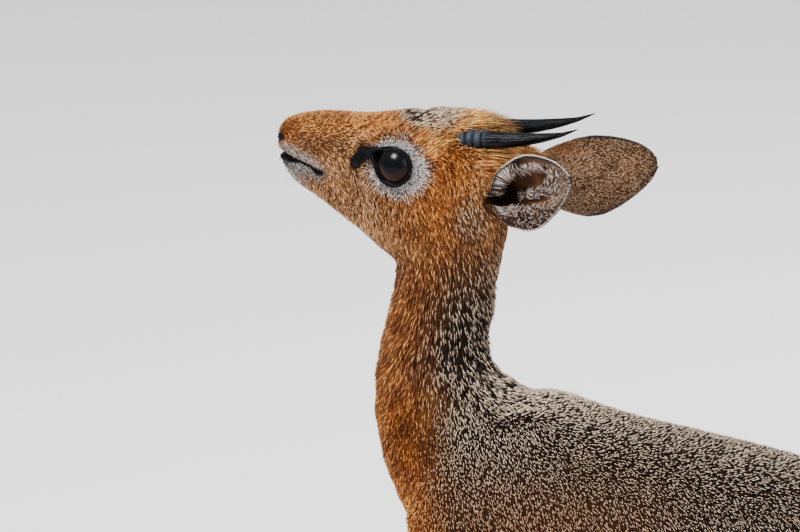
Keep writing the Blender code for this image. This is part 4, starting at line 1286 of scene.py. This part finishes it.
# %% [markdown]
# ## Ears
#
# An ear is a leaf of gristle rolled into a cup. Its form is a table of widths and of how far the
# leaf curls round, from root to tip, and any point on it has two numbers: its share of the way
# from root to tip, and its turn from the lower rim to the upper one. Folds, hair and colours are
# all placed with those two numbers.

# %% The ear's leaf
EAR_LENGTH, EAR_SAG, EAR_BACK = 0.0830, 0.0020, 0.0080
EAR_FORM = np.array((
    (-0.16, 0.0090, 165), (0.02, 0.0102, 156), (0.12, 0.0126, 130), (0.22, 0.0162, 103),
    (0.33, 0.0198, 80), (0.45, 0.0224, 64), (0.57, 0.0228, 55), (0.69, 0.0208, 50),
    (0.80, 0.0176, 46), (0.90, 0.0132, 42), (0.97, 0.0078, 40), (1.0, 0.0020, 38),
))
EAR_ROWS, EAR_COLUMNS = 72, 57
EAR_DROP = {"left": 0.0, "right": 0.0048}


def ear_axes(word):
    side = SIDES[word]
    along = unit(mirrored(EAR_DIRECTION[word], side))
    up = np.array((0, 0, 1.0))
    up = unit(up - along * along[2])
    return mirrored(EAR_ROOT, side), along, up, np.cross(up, along) * side


def ear_points(word, share, turn, lift=0.0):
    """Places on the leaf, raised by lift towards its hollow side, and the hollow's direction."""
    root, along, up, opening = ear_axes(word)
    fine_share = np.linspace(-0.16, 1.0, 233)
    width, angle = (
        np.interp(share, fine_share, smoothed(
            np.interp(fine_share, EAR_FORM[:, 0], EAR_FORM[:, column]), 17, "edge"))
        for column in (1, 2)
    )
    curl = np.radians(angle)
    radius = width / np.sin(np.minimum(curl, math.pi / 2))
    held = np.clip(share, 0, 1)
    middle = root + np.outer(share * EAR_LENGTH, along)
    middle = middle - np.outer(EAR_SAG * np.sin(math.pi * held), up)
    rise_in = radius * (1 - np.cos(curl * turn)) - EAR_BACK * (1 - held) ** 1.5
    inward = np.outer(np.cos(curl * turn), opening) - np.outer(np.sin(curl * turn), up)
    place = middle + np.outer(radius * np.sin(curl * turn), up) + np.outer(rise_in, opening)
    drop = EAR_DROP[word] * rise(held, 0.02, 0.42) * (1 - rise(held, 0.45, 0.98))
    place = place - np.outer(drop * np.maximum(-turn, 0) ** 1.5, up)
    return place + inward * np.reshape(lift, (-1, 1)), inward


def ear_relief(share, turn):
    """The folds of the hollow side, in metres."""
    def ridge(line, half_width, height, start, stop):
        across = np.exp(-(((turn - line) / half_width) ** 2))
        held = rise(share, start, start + 0.12) * (1 - rise(share, stop - 0.2, stop))
        return height * across * held

    out = ridge(0.02 + 0.10 * share, 0.12, 0.0017, 0.02, 0.85)
    out = out + ridge(0.74, 0.10, 0.0011, 0.22, 0.90)
    out = out + ridge(-0.42, 0.12, 0.0013, -0.02, 0.60)
    return out - ridge(0.40, 0.16, 0.0006, 0.20, 0.80)


def ear_marks(share, turn, inside):
    """Rufous, grizzle, pale and dark of an ear's leaf and of the hair on it."""
    rim = np.maximum(rise(abs(turn), 0.82, 0.93), 0.6 * rise(share, 0.94, 0.99))
    tip = rise(share, 0.72, 0.92)
    # Black down the canal, near the root on the lower side: painted shade in the depth of the ear.
    canal = 0.80 * (1 - rise(share, -0.10, 0.09)) * rise(turn, -0.85, -0.55)
    upper_edge = rise(turn, 0.42, 0.80) * (1 - rise(share, 0.30, 0.52))
    back = np.column_stack([
        0.16 + 0.56 * upper_edge, 0.50 + 0.1 * tip - 0.40 * upper_edge, 0.0 * share,
        0.85 * rim * rise(share, 0.36, 0.55) + 0.20 * (1 - rise(share, 0.0, 0.2)) + 0.10,
    ])
    # Dark under the upper rim of the hollow: painted shade. The hollow is also darker towards its
    # lower edge.
    under_rim = rise(turn, 0.76, 0.86) * rise(share, 0.30, 0.42)
    low_edge = 0.66 * rise(-turn, 0.50, 0.85)
    hollow = np.column_stack([
        0.12 + 0.0 * share, 0.40 * tip + 0.30 * rim,
        0.46 - 0.14 * tip - 0.26 * rise(-turn, 0.45, 0.80),
        np.maximum(canal, np.maximum(0.72 * under_rim, low_edge)),
    ])
    return np.clip(np.where(np.reshape(inside, (-1, 1)), hollow, back), 0, 1)


def build_ear(word):
    share = np.linspace(-0.13, 1.0, EAR_ROWS)
    turn = np.linspace(-1, 1, EAR_COLUMNS)
    shares, turns = np.repeat(share, EAR_COLUMNS), np.tile(turn, EAR_ROWS)
    edge = np.maximum(rise(abs(turns), 0.80, 1.0), rise(shares, 0.90, 1.0))
    half = 0.00062 - 0.00046 * edge
    inner, _ = ear_points(word, shares, turns, half + ear_relief(shares, turns))
    outer, _ = ear_points(word, shares, turns, -half)
    index = np.arange(EAR_ROWS * EAR_COLUMNS).reshape(EAR_ROWS, EAR_COLUMNS)
    a, b, c, d = index[:-1, :-1], index[:-1, 1:], index[1:, 1:], index[1:, :-1]
    sheets = [np.stack([a, b, c, d], axis=-1).reshape(-1, 4)]
    sheets.append(np.stack([d, c, b, a], axis=-1).reshape(-1, 4) + index.size)
    rim = np.concatenate([
        index[0, :], index[1:, -1], index[-1, -2::-1], index[-2:0:-1, 0]
    ])
    after = np.roll(rim, -1)
    sheets.append(np.stack([after, rim, rim + index.size, after + index.size], axis=-1))
    obj = mesh_from("ear_leaf_" + word, np.concatenate([inner, outer]), np.concatenate(sheets))
    inside = np.repeat((True, False), index.size)
    share_all, turn_all = np.tile(shares, 2), np.tile(turns, 2)
    marks = ear_marks(share_all, turn_all, inside)
    # The bare floor of the hollow is darkened, partly its own brown and partly painted shade.
    bare_floor = inside & (abs(turn_all) < 0.93)
    marks[bare_floor, 2] = 0.0
    marks[bare_floor, 3] = np.maximum(marks[bare_floor, 3], 0.48)
    edge_line = 0.85 * rise(abs(turn_all), 0.970, 1.0) * rise(share_all, 0.2, 0.35)
    marks[:, 2] = np.maximum(marks[:, 2], edge_line)
    marks[:, 3] *= 1 - edge_line
    store_marks(obj.data, marks, np.concatenate([inner, outer]))
    outward_faces(obj)
    plan_faces(obj)
    return dress(obj, skin_finish, ["ear_" + word])


# %% [markdown]
# ## Hair of the ears
#
# The back of an ear has short speckled hair that lies towards the tip. Inside, the gristle is
# bare and brown, between bands of long pale hair that keep dust and flies out: a fringe along the
# front edge, one band under the upper rim, one along the middle fold and one below the canal.

# %% Grow the ears' hair
def ear_frame(word, share, turn, inside, lift=0.0):
    """Place, outward normal, and the directions of growing share and growing turn."""
    place, inward = ear_points(word, share, turn, lift)
    along = unit(ear_points(word, share + 0.01, turn)[0] - ear_points(word, share - 0.01, turn)[0])
    normal = inward * np.where(inside, 1.0, -1.0)[:, None]
    across = unit(ear_points(word, share, turn + 0.01)[0] - ear_points(word, share, turn - 0.01)[0])
    normal = unit(normal - along * (normal * along).sum(axis=1)[:, None])
    return place, normal, along, across


def grow_ear_coat(word):
    count = 30000
    share, turn = rng.uniform(0.0, 0.985, count), rng.uniform(-0.95, 0.95, count)
    width = np.interp(share, EAR_FORM[:, 0], EAR_FORM[:, 1] * np.radians(EAR_FORM[:, 2]) / 1.2)
    inside = rng.random(count) < 0.32
    rim = np.maximum(rise(abs(turn), 0.62, 0.85), rise(share, 0.68, 0.86))
    rim = np.maximum(rim, rise(-turn, 0.20, 0.40) * rise(share, 0.30, 0.45))
    keep = rng.random(count) < np.where(inside, rim, 1.0) * width / width.max()
    share, turn, inside = share[keep], turn[keep], inside[keep]
    height = np.where(inside, 0.0004 + ear_relief(share, turn), -0.0004)
    place, normal, along, across = ear_frame(word, share, turn, inside, height)
    lean = np.where(inside, -0.7 * np.sign(turn), 0.15 * turn)[:, None]
    lie = flattened(along + across * lean, normal)
    draw = rng.random(len(share))
    short = np.where(inside, 0.0026, 0.0024) * rng.uniform(0.7, 1.2, len(share))
    short = short * (1 - 0.45 * np.maximum(rise(share, 0.80, 0.98), rise(abs(turn), 0.80, 0.96)))
    marks = ear_marks(share, turn, inside)
    sized = shaken(place, normal, lie, short, np.full(len(share), 0.00033),
                   np.full(len(share), 0.0005), draw)
    return grow("ear_coat_" + word, *sized, marks, draw, slot="ear")


FRINGES = (
    # count, share from and to, turn from and to, lean on, over and in, length, white hairs
    (540, -0.13, 0.40, 0.88, 1.00, (0.30, -0.25, 1.00), 0.0090, 0.42),
    (300, 0.28, 0.66, 0.62, 0.82, (0.25, -1.00, 0.40), 0.0054, 0.46),
    (100, 0.62, 0.84, 0.32, 0.62, (0.50, -1.00, 0.20), 0.0044, 0.42),
    (380, -0.02, 0.60, -0.14, 0.05, (1.00, 0.12, 0.20), 0.0104, 0.50),
    (120, 0.58, 0.76, -0.30, 0.16, (0.80, 0.55, 0.15), 0.0056, 0.45),
    (300, -0.10, 0.42, -0.42, -0.26, (1.00, -0.35, 0.26), 0.0104, 0.48),
    (330, -0.12, 0.14, -0.98, -0.50, (0.70, 0.70, 0.50), 0.0088, 0.34),
    (260, -0.13, 0.04, -1.00, -0.70, (0.20, 1.00, 0.55), 0.0092, 0.36),
    (460, 0.10, 0.74, -0.92, -0.42, (1.00, -0.45, 0.22), 0.0098, 0.24),
    (380, 0.26, 1.00, 0.970, 1.0, (1.00, 0.45, 0.00), 0.0017, 1.00),
    (260, 0.30, 1.00, -1.0, -0.970, (1.00, -0.45, 0.00), 0.0015, 0.90),
)


def grow_fringes(word):
    rows = []
    for count, low, high, turn_low, turn_high, lean, length, white in FRINGES:
        share, turn = rng.uniform(low, high, count), rng.uniform(turn_low, turn_high, count)
        place, normal, along, across = ear_frame(
            word, share, turn, np.full(count, True), 0.0004 + ear_relief(share, turn)
        )
        lie = unit(along * lean[0] + across * lean[1] + normal * lean[2])
        lie = ruffled(lie, 0.13)
        pale = rng.random(count) < white
        marks = np.tile((0.15, 0.0, 0.0, 0.0), (count, 1))
        marks[:, 2] = np.where(pale, 0.64, 0.10)
        marks[:, 3] = np.where(pale, 0.0, 0.58)
        draw = np.where(pale, rng.uniform(0.45, 1.0, count), rng.uniform(0.0, 0.6, count))
        size = length * rng.uniform(0.65, 1.2, count)
        upright = flattened(normal + 0.3 * along, lie)
        rows.append((place, upright, lie, size, np.full(count, 0.00054), 0.0 * size,
                     0.10 * size, marks, draw))
    joined = [np.concatenate(column) for column in zip(*rows)]
    return strands("ear_fringe_" + word, *joined, slot="ear")


for word in SIDES:
    build_ear(word)
    grow_ear_coat(word)
    grow_fringes(word)

# %% [markdown]
# ## Eyes
#
# The eye of a dik-dik is huge and almost black. It is a ball with a slightly domed clear front. A
# wide dark pupil lies across a red-brown iris, and above the pupil the iris is painted as dark as
# the pupil, as painted shade, so the brown only shows low down, where light gets in. The
# frame's ball has few faces, so a finer one takes its place and keeps the highlight round.

# %% Make the eyes
PUPIL = (0.0006, 0.0008, 0.0018, 1)
IRIS_DARK, IRIS_BROWN = (0.002, 0.001, 0.001, 1), (0.018, 0.005, 0.003, 1)
IRIS_EDGE = (0.002, 0.002, 0.0025, 1)


def eye_material():
    material, g, shader = new_material("eye")
    ahead, level = g.attribute("ahead"), g.attribute("level")
    reach = g.math("SQRT", g.math("ADD", g.math("POWER", ahead, 2.0), g.math("POWER", level, 2.0)))
    wide = g.math("POWER", g.math("DIVIDE", ahead, 0.60), 2.0)
    tall = g.math("POWER", g.math("DIVIDE", g.math("SUBTRACT", level, 0.16), 0.44), 2.0)
    oval = g.span(g.math("ADD", wide, tall), 1.30, 0.80)
    # Above the pupil the iris is painted as dark as the pupil: painted shade over the upper part of
    # the eye.
    pupil_and_shade = g.math("MAXIMUM", oval, g.span(level, -0.05, 0.2))
    streaks = g.noise(g.attribute("root", "Vector"), 900.0, 4.0)
    iris = g.blend(g.span(streaks, 0.3, 0.7), IRIS_DARK, IRIS_BROWN)
    iris = g.blend(g.span(reach, 0.66, 0.84), iris, IRIS_EDGE)
    g.feed(shader.inputs["Base Color"], g.blend(pupil_and_shade, iris, PUPIL))
    g.feed(shader.inputs["Roughness"], 0.25)
    g.feed(shader.inputs["Specular IOR Level"], 0.05)
    g.feed(shader.inputs["Coat Weight"], g.span(level, -0.35, 0.55, 0.04, 0.30))
    g.feed(shader.inputs["Coat Roughness"], 0.15)
    g.feed(shader.inputs["Coat IOR"], 1.36)
    return material


def build_eye(word, side, material):
    centre, axis, front, up = eye_frame(side)
    bm = bmesh.new()
    bmesh.ops.create_uvsphere(bm, u_segments=64, v_segments=40, radius=1.0)
    obj = object_from("eyeball_" + word, bm)
    mesh = obj.data
    ball = get(mesh.vertices, "co", 3)
    if side == LEFT:
        ball[:, 0] *= -1
        mesh.flip_normals()
    radius = EYE_RADIUS * (1 + 0.030 * rise(ball[:, 2], 0.62, 0.95))
    own = centre + (front * ball[:, :1] + up * ball[:, 1:2] + axis * ball[:, 2:]) * radius[:, None]
    set_own_points(mesh, own)
    store(mesh, "ahead", ball[:, 0])
    store(mesh, "level", ball[:, 1])
    store(mesh, "root", own)
    plan_faces(obj)
    return dress(obj, material, ["eye_" + word])


eye_finish = eye_material()
for word, side in SIDES.items():
    build_eye(word, side, eye_finish)

# %% [markdown]
# ## Lid rims and lashes
#
# Bare black skin edges the lids like a soft cord. It hugs the ball all round and runs out to a
# dark point at the front corner. Casting rays onto the skin just outside the lids' edge finds
# where the cord has to rise off the ball to meet it.

# %% Make the lids' rims and the lashes
LID_BLACK, LID_GREY = (0.0006, 0.0006, 0.0008, 1), (0.002, 0.002, 0.0022, 1)


def bare_black_material():
    material, g, shader = new_material("bare_black_skin")
    fine = g.noise(g.node("NewGeometry").outputs["Position"], 1800.0, 3.0)
    g.feed(shader.inputs["Base Color"], g.blend(g.span(fine, 0.3, 0.7), LID_BLACK, LID_GREY))
    g.feed(shader.inputs["Roughness"], 0.34)
    g.feed(shader.inputs["Specular IOR Level"], 0.07)
    return material


def swept(name, middles, outward, lifted, half_width, half_height, closed=True, sections=12):
    """A tube along a row of points, with its own width and height at each."""
    turns = np.linspace(0, math.tau, sections, endpoint=False)
    rings = middles[:, None] + (
        outward[:, None] * (half_width[:, None] * np.cos(turns))[..., None]
        + lifted[:, None] * (half_height[:, None] * np.sin(turns))[..., None]
    )
    count = len(middles)
    index = np.arange(count * sections).reshape(count, sections)
    after = np.roll(index, -1, axis=0)
    if not closed:
        index, after = index[:-1], after[:-1]
    faces = np.stack([index, np.roll(index, -1, 1), np.roll(after, -1, 1), after], axis=-1)
    return mesh_from(name, rings.reshape(-1, 3), faces.reshape(-1, 4))


def skin_tree():
    mesh = skin.data
    corners = [tuple(p) for p in own_points(mesh)]
    return BVHTree.FromPolygons(corners, [tuple(face.vertices) for face in mesh.polygons])


def build_lid_rim(word, side, tree):
    centre, axis, front, up = eye_frame(side)
    angles = np.linspace(0, math.tau, 144, endpoint=False)
    ahead, level = lid_outline(angles)
    edge = np.outer(ahead, front) + np.outer(level, up)
    outward = unit(np.cross(np.roll(edge, -1, 0) - np.roll(edge, 1, 0), axis))
    outward *= np.sign((outward * edge).sum(axis=1))[:, None]
    heights = []
    for point in centre + edge + outward * 0.0010:
        hit = tree.ray_cast(Vector(point + axis * 0.03), Vector(-axis))[0]
        heights.append((np.array(hit) - centre) @ axis if hit else 0.006)
    inner = edge - outward * 0.0007
    ball = np.sqrt(np.maximum(0.0155 ** 2 - (inner ** 2).sum(axis=1), 0))
    height = np.maximum(ball, np.array(heights) - 0.0006)
    height = smoothed(height, 11, "wrap")
    half_width = 0.00095 + 0.00035 * np.maximum(0, np.sin(angles)) ** 2
    middles = centre + inner + np.outer(height, axis)
    lifted = unit(axis + 0.6 * unit(edge))
    obj = swept("lid_rim_" + word, middles, outward, lifted, half_width, half_width * 0.75)
    outward_faces(obj)
    plan_faces(obj)
    dress(obj, bare_black)
    lash = (np.sin(angles) > 0.15) & (np.cos(angles) < 0.90)
    return middles[lash], unit(outward + 0.9 * axis)[lash], np.tile(up, (lash.sum(), 1))


def grow_lashes(rows):
    place, out, up = (np.concatenate(column) for column in zip(*rows))
    pick = rng.integers(0, len(place), 110)
    lie = ruffled(out[pick], 0.16)
    normal = flattened(up[pick], lie)
    length = rng.uniform(0.0028, 0.0050, len(pick))
    strands("lashes", place[pick], normal, lie, length, 0.00022,
            0.18 * length, -0.06 * length, (0.0, 0.0, 0.0, 1.0), 0.5, "eye")


bare_black = bare_black_material()
surface = skin_tree()
grow_lashes([build_lid_rim(word, side, surface) for word, side in SIDES.items()])

# %% [markdown]
# ## Whiskers
#
# Whiskers grow from dark spots in rows on the pale lips and chin. The spots show from far away,
# the whiskers themselves hardly at all, so the spots are short thick stubs and the whiskers a few
# thin strands.

# %% Grow the whiskers
def grow_whiskers():
    x, y, z = roots.T
    line = near_line(roots, MOUTH_LINE)
    mouth_z = np.interp(x, [p[0] for p in MOUTH_LINE], [p[1] for p in MOUTH_LINE])
    lips = (line > 0.0022) & (line < 0.0085) & (x > -0.1735) & (x < -0.154) & (abs(y) > 0.004)
    lips = lips & (z > mouth_z - 0.0100)
    for name, count, length, width, lift in (
        ("whisker_spots", 74, 0.0019, 0.00095, 0.50), ("whiskers", 46, 0.0130, 0.00016, 0.45),
    ):
        place, normal = on_skin(lips, count)
        lie = flattened(np.tile((0.55, 0.0, -0.6), (count, 1)), normal)
        lie = ruffled(lie, 0.15)
        size = length * rng.uniform(0.7, 1.2, count)
        strands(name, place, normal, lie, size, width, lift * size + 0.0006,
                0.05 * size, (0.0, 0.0, 0.0, 0.92), 0.5)


grow_whiskers()

# %% [markdown]
# ## Horns
#
# The horns are short, straight and slightly upturned spikes of black horn. Five fine grooves ring
# the thick base, then shallow ones run lengthwise, and the last third is smooth and polished by
# rubbing. Both are made from the same line of points, the frame's own.

# %% Make the horns
HORN_GROOVES = (0.0098, 0.0143, 0.0192, 0.0240, 0.0293)
# The bluish grey of the streaks is partly worn horn and partly painted highlight.
HORN_BLACK, HORN_WEAR_AND_HIGHLIGHT = (0.0002, 0.0003, 0.0006, 1), (0.030, 0.038, 0.052, 1)


def horn_material():
    material, g, shader = new_material("black_horn")
    along, turn = g.attribute("along"), g.attribute("turn")
    cell = g.node("CombineXYZ")
    g.feed(cell.inputs["X"], g.math("MULTIPLY", along, 6.0))
    g.feed(cell.inputs["Y"], g.math("MULTIPLY", turn, 13.0))
    fibres = g.noise(cell.outputs["Vector"], 1.6, 4.0)
    # Light lengthwise streaks that fade to the tip: partly worn fibres, partly painted highlight.
    wear_and_highlight = g.math("MULTIPLY", g.span(fibres, 0.53, 0.68), g.span(along, 0.98, 0.10))
    # The lands between the base's grooves are light, partly as wear and partly as painted
    # highlight; the grooves stay dark as painted shade.
    wear_and_highlight = g.math("MAXIMUM", g.math("MULTIPLY", wear_and_highlight, 0.8), g.attribute("ring"))
    # Lighter along the top of the horn: painted highlight from the light above.
    wear_and_highlight = g.math("MULTIPLY", wear_and_highlight, g.span(g.attribute("upper"), 0.10, 0.85, 0.12, 1.0))
    g.feed(shader.inputs["Base Color"], g.blend(wear_and_highlight, HORN_BLACK, HORN_WEAR_AND_HIGHLIGHT))
    g.feed(shader.inputs["Roughness"], g.span(along, 0.3, 0.9, 0.30, 0.25))
    g.feed(shader.inputs["Specular IOR Level"], 0.07)
    g.feed(shader.inputs["Normal"], g.bump(fibres, 0.0005, 0.7))
    return material


def build_horn(word, side):
    line = HORN_LINE * (1, side, 1, 1)
    step = np.linalg.norm(np.diff(line[:, :3], axis=0), axis=1)
    run = np.concatenate([[0], np.cumsum(step)])
    at = np.linspace(0, run[-1], 200)
    path = np.column_stack([
        smoothed(np.interp(at, run, line[:, k]), 21, "reflect", reflect_type="odd")
        for k in range(4)
    ])
    radius = np.maximum(path[:, 3], 0.00025)
    notch = sum(np.exp(-(((at - place) / 0.00062) ** 2)) for place in HORN_GROOVES)
    swell = rise(at, 0.0060, 0.0120) * (1 - rise(at, 0.0293, 0.0335))
    radius = radius + 0.00040 * swell - 0.00090 * notch
    tangent = unit(np.gradient(path[:, :3], axis=0))
    beside = unit(np.cross(tangent, (0, 0, 1.0)))
    above = np.cross(beside, tangent)
    turns = np.linspace(0, math.tau, 60, endpoint=False)
    groove = np.cos(13 * turns + 0.6) * 0.6 + np.cos(21 * turns) * 0.4
    depth = 0.00016 * rise(at, 0.012, 0.026) * (1 - rise(at, 0.052, 0.074))
    reach = radius[:, None] + depth[:, None] * groove
    rings = path[:, None, :3] + (
        beside[:, None] * (reach * np.cos(turns))[..., None]
        + above[:, None] * (reach * np.sin(turns) * 0.96)[..., None]
    )
    index = np.arange(rings.shape[0] * rings.shape[1]).reshape(rings.shape[:2])
    near, far = index[:-1], index[1:]
    faces = np.stack([near, far, np.roll(far, -1, 1), np.roll(near, -1, 1)], axis=-1)
    obj = mesh_from("black_horn_" + word, rings.reshape(-1, 3), faces.reshape(-1, 4))
    store(obj.data, "along", np.repeat(at / run[-1], len(turns)))
    # ring is light on the lands and dark in the grooves, partly wear and partly painted highlight
    # and shade; upper is 1 along the top, where the colour gets a painted highlight.
    store(obj.data, "ring", np.repeat(0.66 * swell * np.maximum(1 - 1.3 * notch, 0), len(turns)))
    store(obj.data, "upper", np.tile(0.5 + 0.5 * np.sin(turns), len(at)))
    store(obj.data, "turn", np.tile(np.abs(turns / math.pi - 1), len(at)))
    outward_faces(obj, fill_holes=True)
    plan_faces(obj)
    return dress(obj, black_horn, ["horn_" + word])


black_horn = horn_material()
for word, side in SIDES.items():
    build_horn(word, side)

# %% [markdown]
# ## Hooves
#
# Each foot ends in two narrow pointed hooves. The frame's wedges have the right form and only need
# rounder faces, fine growth lines and the look of dark horn.

# %% Round the hooves
HOOF_DARK, HOOF_LIGHT = (0.010, 0.009, 0.008, 1), (0.045, 0.036, 0.030, 1)
HOOF_GRAIN = 0.0006


def hoof_material():
    material, g, shader = new_material("hoof_horn")
    place = g.node("NewGeometry").outputs["Position"]
    stretched = g.node("Mapping")
    g.feed(stretched.inputs["Vector"], place)
    stretched.inputs["Scale"].default_value = (90.0, 90.0, 900.0)
    lines = g.noise(stretched.outputs["Vector"], 1.0, 3.0)
    g.feed(shader.inputs["Base Color"], g.blend(g.span(lines, 0.35, 0.7), HOOF_DARK, HOOF_LIGHT))
    g.feed(shader.inputs["Roughness"], 0.42)
    g.feed(shader.inputs["Specular IOR Level"], 0.40)
    g.feed(shader.inputs["Normal"], g.bump(lines, 0.0004, 0.4))
    return material


def build_hooves():
    material = hoof_material()
    for name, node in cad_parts.items():
        if not name.startswith("hoof"):
            continue
        bm = bmesh.new()
        bm.from_mesh(node.data)
        bmesh.ops.remove_doubles(bm, verts=bm.verts, dist=1e-6)
        obj = object_from("round_" + name, bm)
        add_modifier(obj, "REMESH", mode="VOXEL", voxel_size=HOOF_GRAIN)
        add_modifier(obj, "SMOOTH", factor=0.5, iterations=4)
        apply_modifiers(obj)
        points = own_points(obj.data)
        points[:, 2] = np.where(points[:, 2] < HOOF_GRAIN, 0.0, points[:, 2])
        set_own_points(obj.data, points)
        plan_faces(obj)
        dress(obj, material, [name])


build_hooves()

# %% [markdown]
# ## Camera, light and floor
#
# The photograph was taken from a little behind the animal's left side, 13 degrees up, through a
# long lens. The picture is 800 by 532, and one centimetre of the animal is 16.5 of its pixels,
# which fixes the lens for any distance. Light is soft and comes from above and the front.

# %% Camera, lights and floor
PICTURE = (800, 532)
PIXELS_PER_METRE = 1650
WITHERS_PIXEL = (560, 394)
WITHERS = np.array((0.0, 0.0, 0.38))
AZIMUTH, ELEVATION = math.radians(13.5), math.radians(13.0)
DISTANCE = 6.0
SENSOR = 36.0
FLOOR_SIZE = 12.0
FLOOR_COLOUR, SKY_COLOUR = (0.93, 0.905, 0.90, 1), (0.93, 0.96, 1.0, 1)


def place_camera():
    back = np.array((
        math.sin(AZIMUTH) * math.cos(ELEVATION),
        -math.cos(AZIMUTH) * math.cos(ELEVATION),
        math.sin(ELEVATION),
    ))
    right = np.array((math.cos(AZIMUTH), math.sin(AZIMUTH), 0))
    up = np.cross(back, right)
    target = WITHERS + right * ((PICTURE[0] / 2 - WITHERS_PIXEL[0]) / PIXELS_PER_METRE)
    target = target + up * ((WITHERS_PIXEL[1] - PICTURE[1] / 2) / PIXELS_PER_METRE)
    camera = place_object("camera", bpy.data.cameras.new("camera"))
    camera.location = target + HOME + back * DISTANCE
    camera.rotation_euler = Vector(back).to_track_quat("Z", "Y").to_euler()
    camera.data.sensor_width = SENSOR
    camera.data.lens = SENSOR * DISTANCE * PIXELS_PER_METRE / PICTURE[0]
    camera.data.clip_end = 100
    bpy.context.scene.camera = camera


def area_light(name, place, aim, size, power, colour=(1, 1, 1)):
    light = place_object(name, bpy.data.lights.new(name, "AREA"))
    light.data.size = size
    light.data.energy = power
    light.data.color = colour
    light.location = Vector(place)
    direction = Vector(place) - Vector(aim)
    light.rotation_euler = direction.to_track_quat("Z", "Y").to_euler()


def set_stage():
    bm = bmesh.new()
    bmesh.ops.create_grid(bm, x_segments=1, y_segments=1, size=FLOOR_SIZE)
    floor = object_from("floor", bm)
    material, g, shader = new_material("pale_floor")
    g.feed(shader.inputs["Base Color"], FLOOR_COLOUR)
    g.feed(shader.inputs["Roughness"], 0.9)
    floor.data.materials.append(material)
    world = bpy.data.worlds.new("soft_daylight")
    world.use_nodes = True
    sky = world.node_tree.nodes["Background"].inputs
    sky["Color"].default_value = SKY_COLOUR
    sky["Strength"].default_value = 0.95
    bpy.context.scene.world = world


place_camera()
set_stage()
area_light("key", (-1.0, -1.6, 2.3), (-0.05, 0, 0.4), 0.9, 185, (1.0, 0.97, 0.93))
area_light("fill", (1.8, -1.8, 1.2), (0, 0, 0.35), 1.8, 30, (0.92, 0.96, 1.0))
area_light("rim", (0.6, 2.0, 2.0), (0, 0, 0.4), 1.2, 70)
